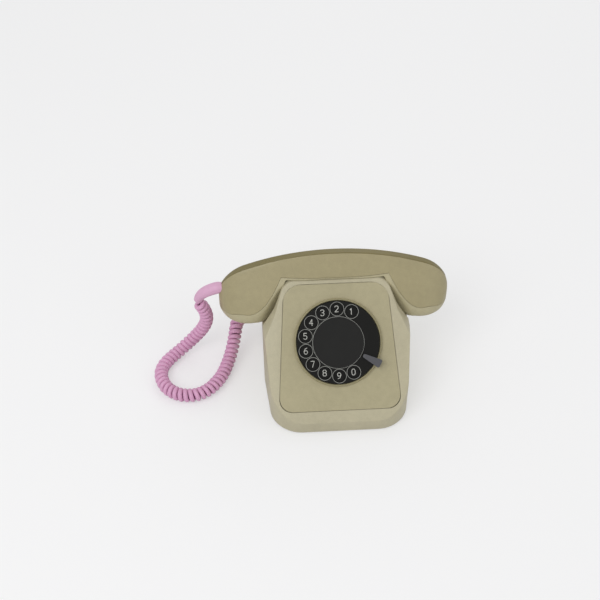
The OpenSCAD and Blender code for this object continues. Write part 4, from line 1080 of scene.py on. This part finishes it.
# %% Give every part its finish
FINISHES = {
    housing_plastic: ["housing"],
    face_plastic: ["face_panel"],
    ring_plastic_painted_shade: ["dial_bezel"],
    handset_plastic: ["handset_upper_shell"],
    lower_plastic_painted_light: ["handset_lower_shell"],
    olive_plastic: ["handset_trim_strip"],
    dial_plastic: ["number_plate"],
    wheel_plastic_painted_highlight: ["finger_wheel"],
    cap_plastic: ["dial_centre_cap"],
    dark_plastic: ["cradle_plunger_left", "cradle_plunger_right"],
    stop_paint: ["finger_stop"],
    digit_ink: ["dial_digits"],
    foot_rubber: ["rubber_feet", "cord_gland", "line_cord_inlet", "terminal_block"],
    cord_vinyl: ["handset_cord"],
    boot_vinyl: ["handset_cord_boot"],
    board_laminate: ["network_board", "hook_contacts"],
    coil_lacquer: ["ringer_coil"],
    can_paint: ["capacitor"],
    raw_brass: ["dial_main_gear", "pulse_wheel", "pulse_contacts", "governor", "ringer_gongs",
                "transmitter_capsule"],
    spun_aluminium: ["receiver_capsule", "governor_cup"],
    plated_steel: ["base_plate", "base_screws", "dial_shaft", "wheel_screw", "dial_frame",
                   "dial_screws", "dial_return_spring", "hook_lever", "hook_bracket",
                   "hook_pivot_pin", "hook_spring", "ringer_frame", "gong_screws",
                   "ringer_clapper", "induction_coil", "handset_screws"],
}


def finish_with(piece, material):
    if not piece.material_slots:
        piece.data.materials.append(material)
    for slot in piece.material_slots:
        slot.material = material


for material, nodes in FINISHES.items():
    for node in nodes:
        finish_with(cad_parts[node], material)
for piece, material in ((curly_cord, cord_vinyl), (cord_boot, boot_vinyl),
                        (housing_shell, housing_plastic), (upper_shell, handset_plastic),
                        (lower_shell, lower_plastic_painted_light), *((disc, lower_plastic_painted_light) for disc in discs),
                        (sound_cloth, foot_rubber), (crest_shade_strip, olive_plastic)):
    finish_with(piece, material)
unfinished = set(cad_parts) - {node for nodes in FINISHES.values() for node in nodes}
print("Parts without a finish:", sorted(unfinished))

# %% [markdown]
# The table and the backdrop show the camera an even, pale ground. Only the camera sees their extra
# brightness, and reflections see the backdrop's, so the light on the telephone stays as it is.

# %% Table and backdrop colour
TABLE_COLOUR, TABLE_GLOW = paint(242, 242, 243), 0.42
WORLD_LIGHT, BACKDROP = 0.58, 0.86
table_paint = Recipe("table_paint")
shader = table_paint.node("ShaderNodeBsdfPrincipled", {}, {
    "Base Color": table_paint.shade(TABLE_COLOUR, 1 + table_paint.noise(3, 3) * 0.01),
    "Roughness": 0.95, "Specular IOR Level": 0.05})
glow = table_paint.node("ShaderNodeEmission", {}, {"Color": (1, 1, 1, 1), "Strength": 1.0})
seen = table_paint.node("ShaderNodeLightPath", output="Is Camera Ray")
brighter = table_paint.node("ShaderNodeMixShader", {}, {0: seen * TABLE_GLOW, 1: shader, 2: glow})
table_paint.node("ShaderNodeOutputMaterial", {}, {"Surface": brighter})
finish_with(table, table_paint.owner)

studio = Recipe("studio", bpy.data.worlds)
straight = studio.node("ShaderNodeLightPath", output="Is Camera Ray")
mirrored = studio.node("ShaderNodeLightPath", output="Is Glossy Ray")
direct = studio.node("ShaderNodeMath", {"operation": "MAXIMUM"}, {0: straight, 1: mirrored})
sky = studio.node("ShaderNodeBackground", {}, {
    "Color": (1, 1, 1, 1), "Strength": WORLD_LIGHT + direct * (BACKDROP - WORLD_LIGHT)})
studio.node("ShaderNodeOutputWorld", {}, {"Surface": sky})
scene.world = studio.owner
scene.view_settings.view_transform = "Standard"
print("World light:", WORLD_LIGHT, "backdrop:", BACKDROP)
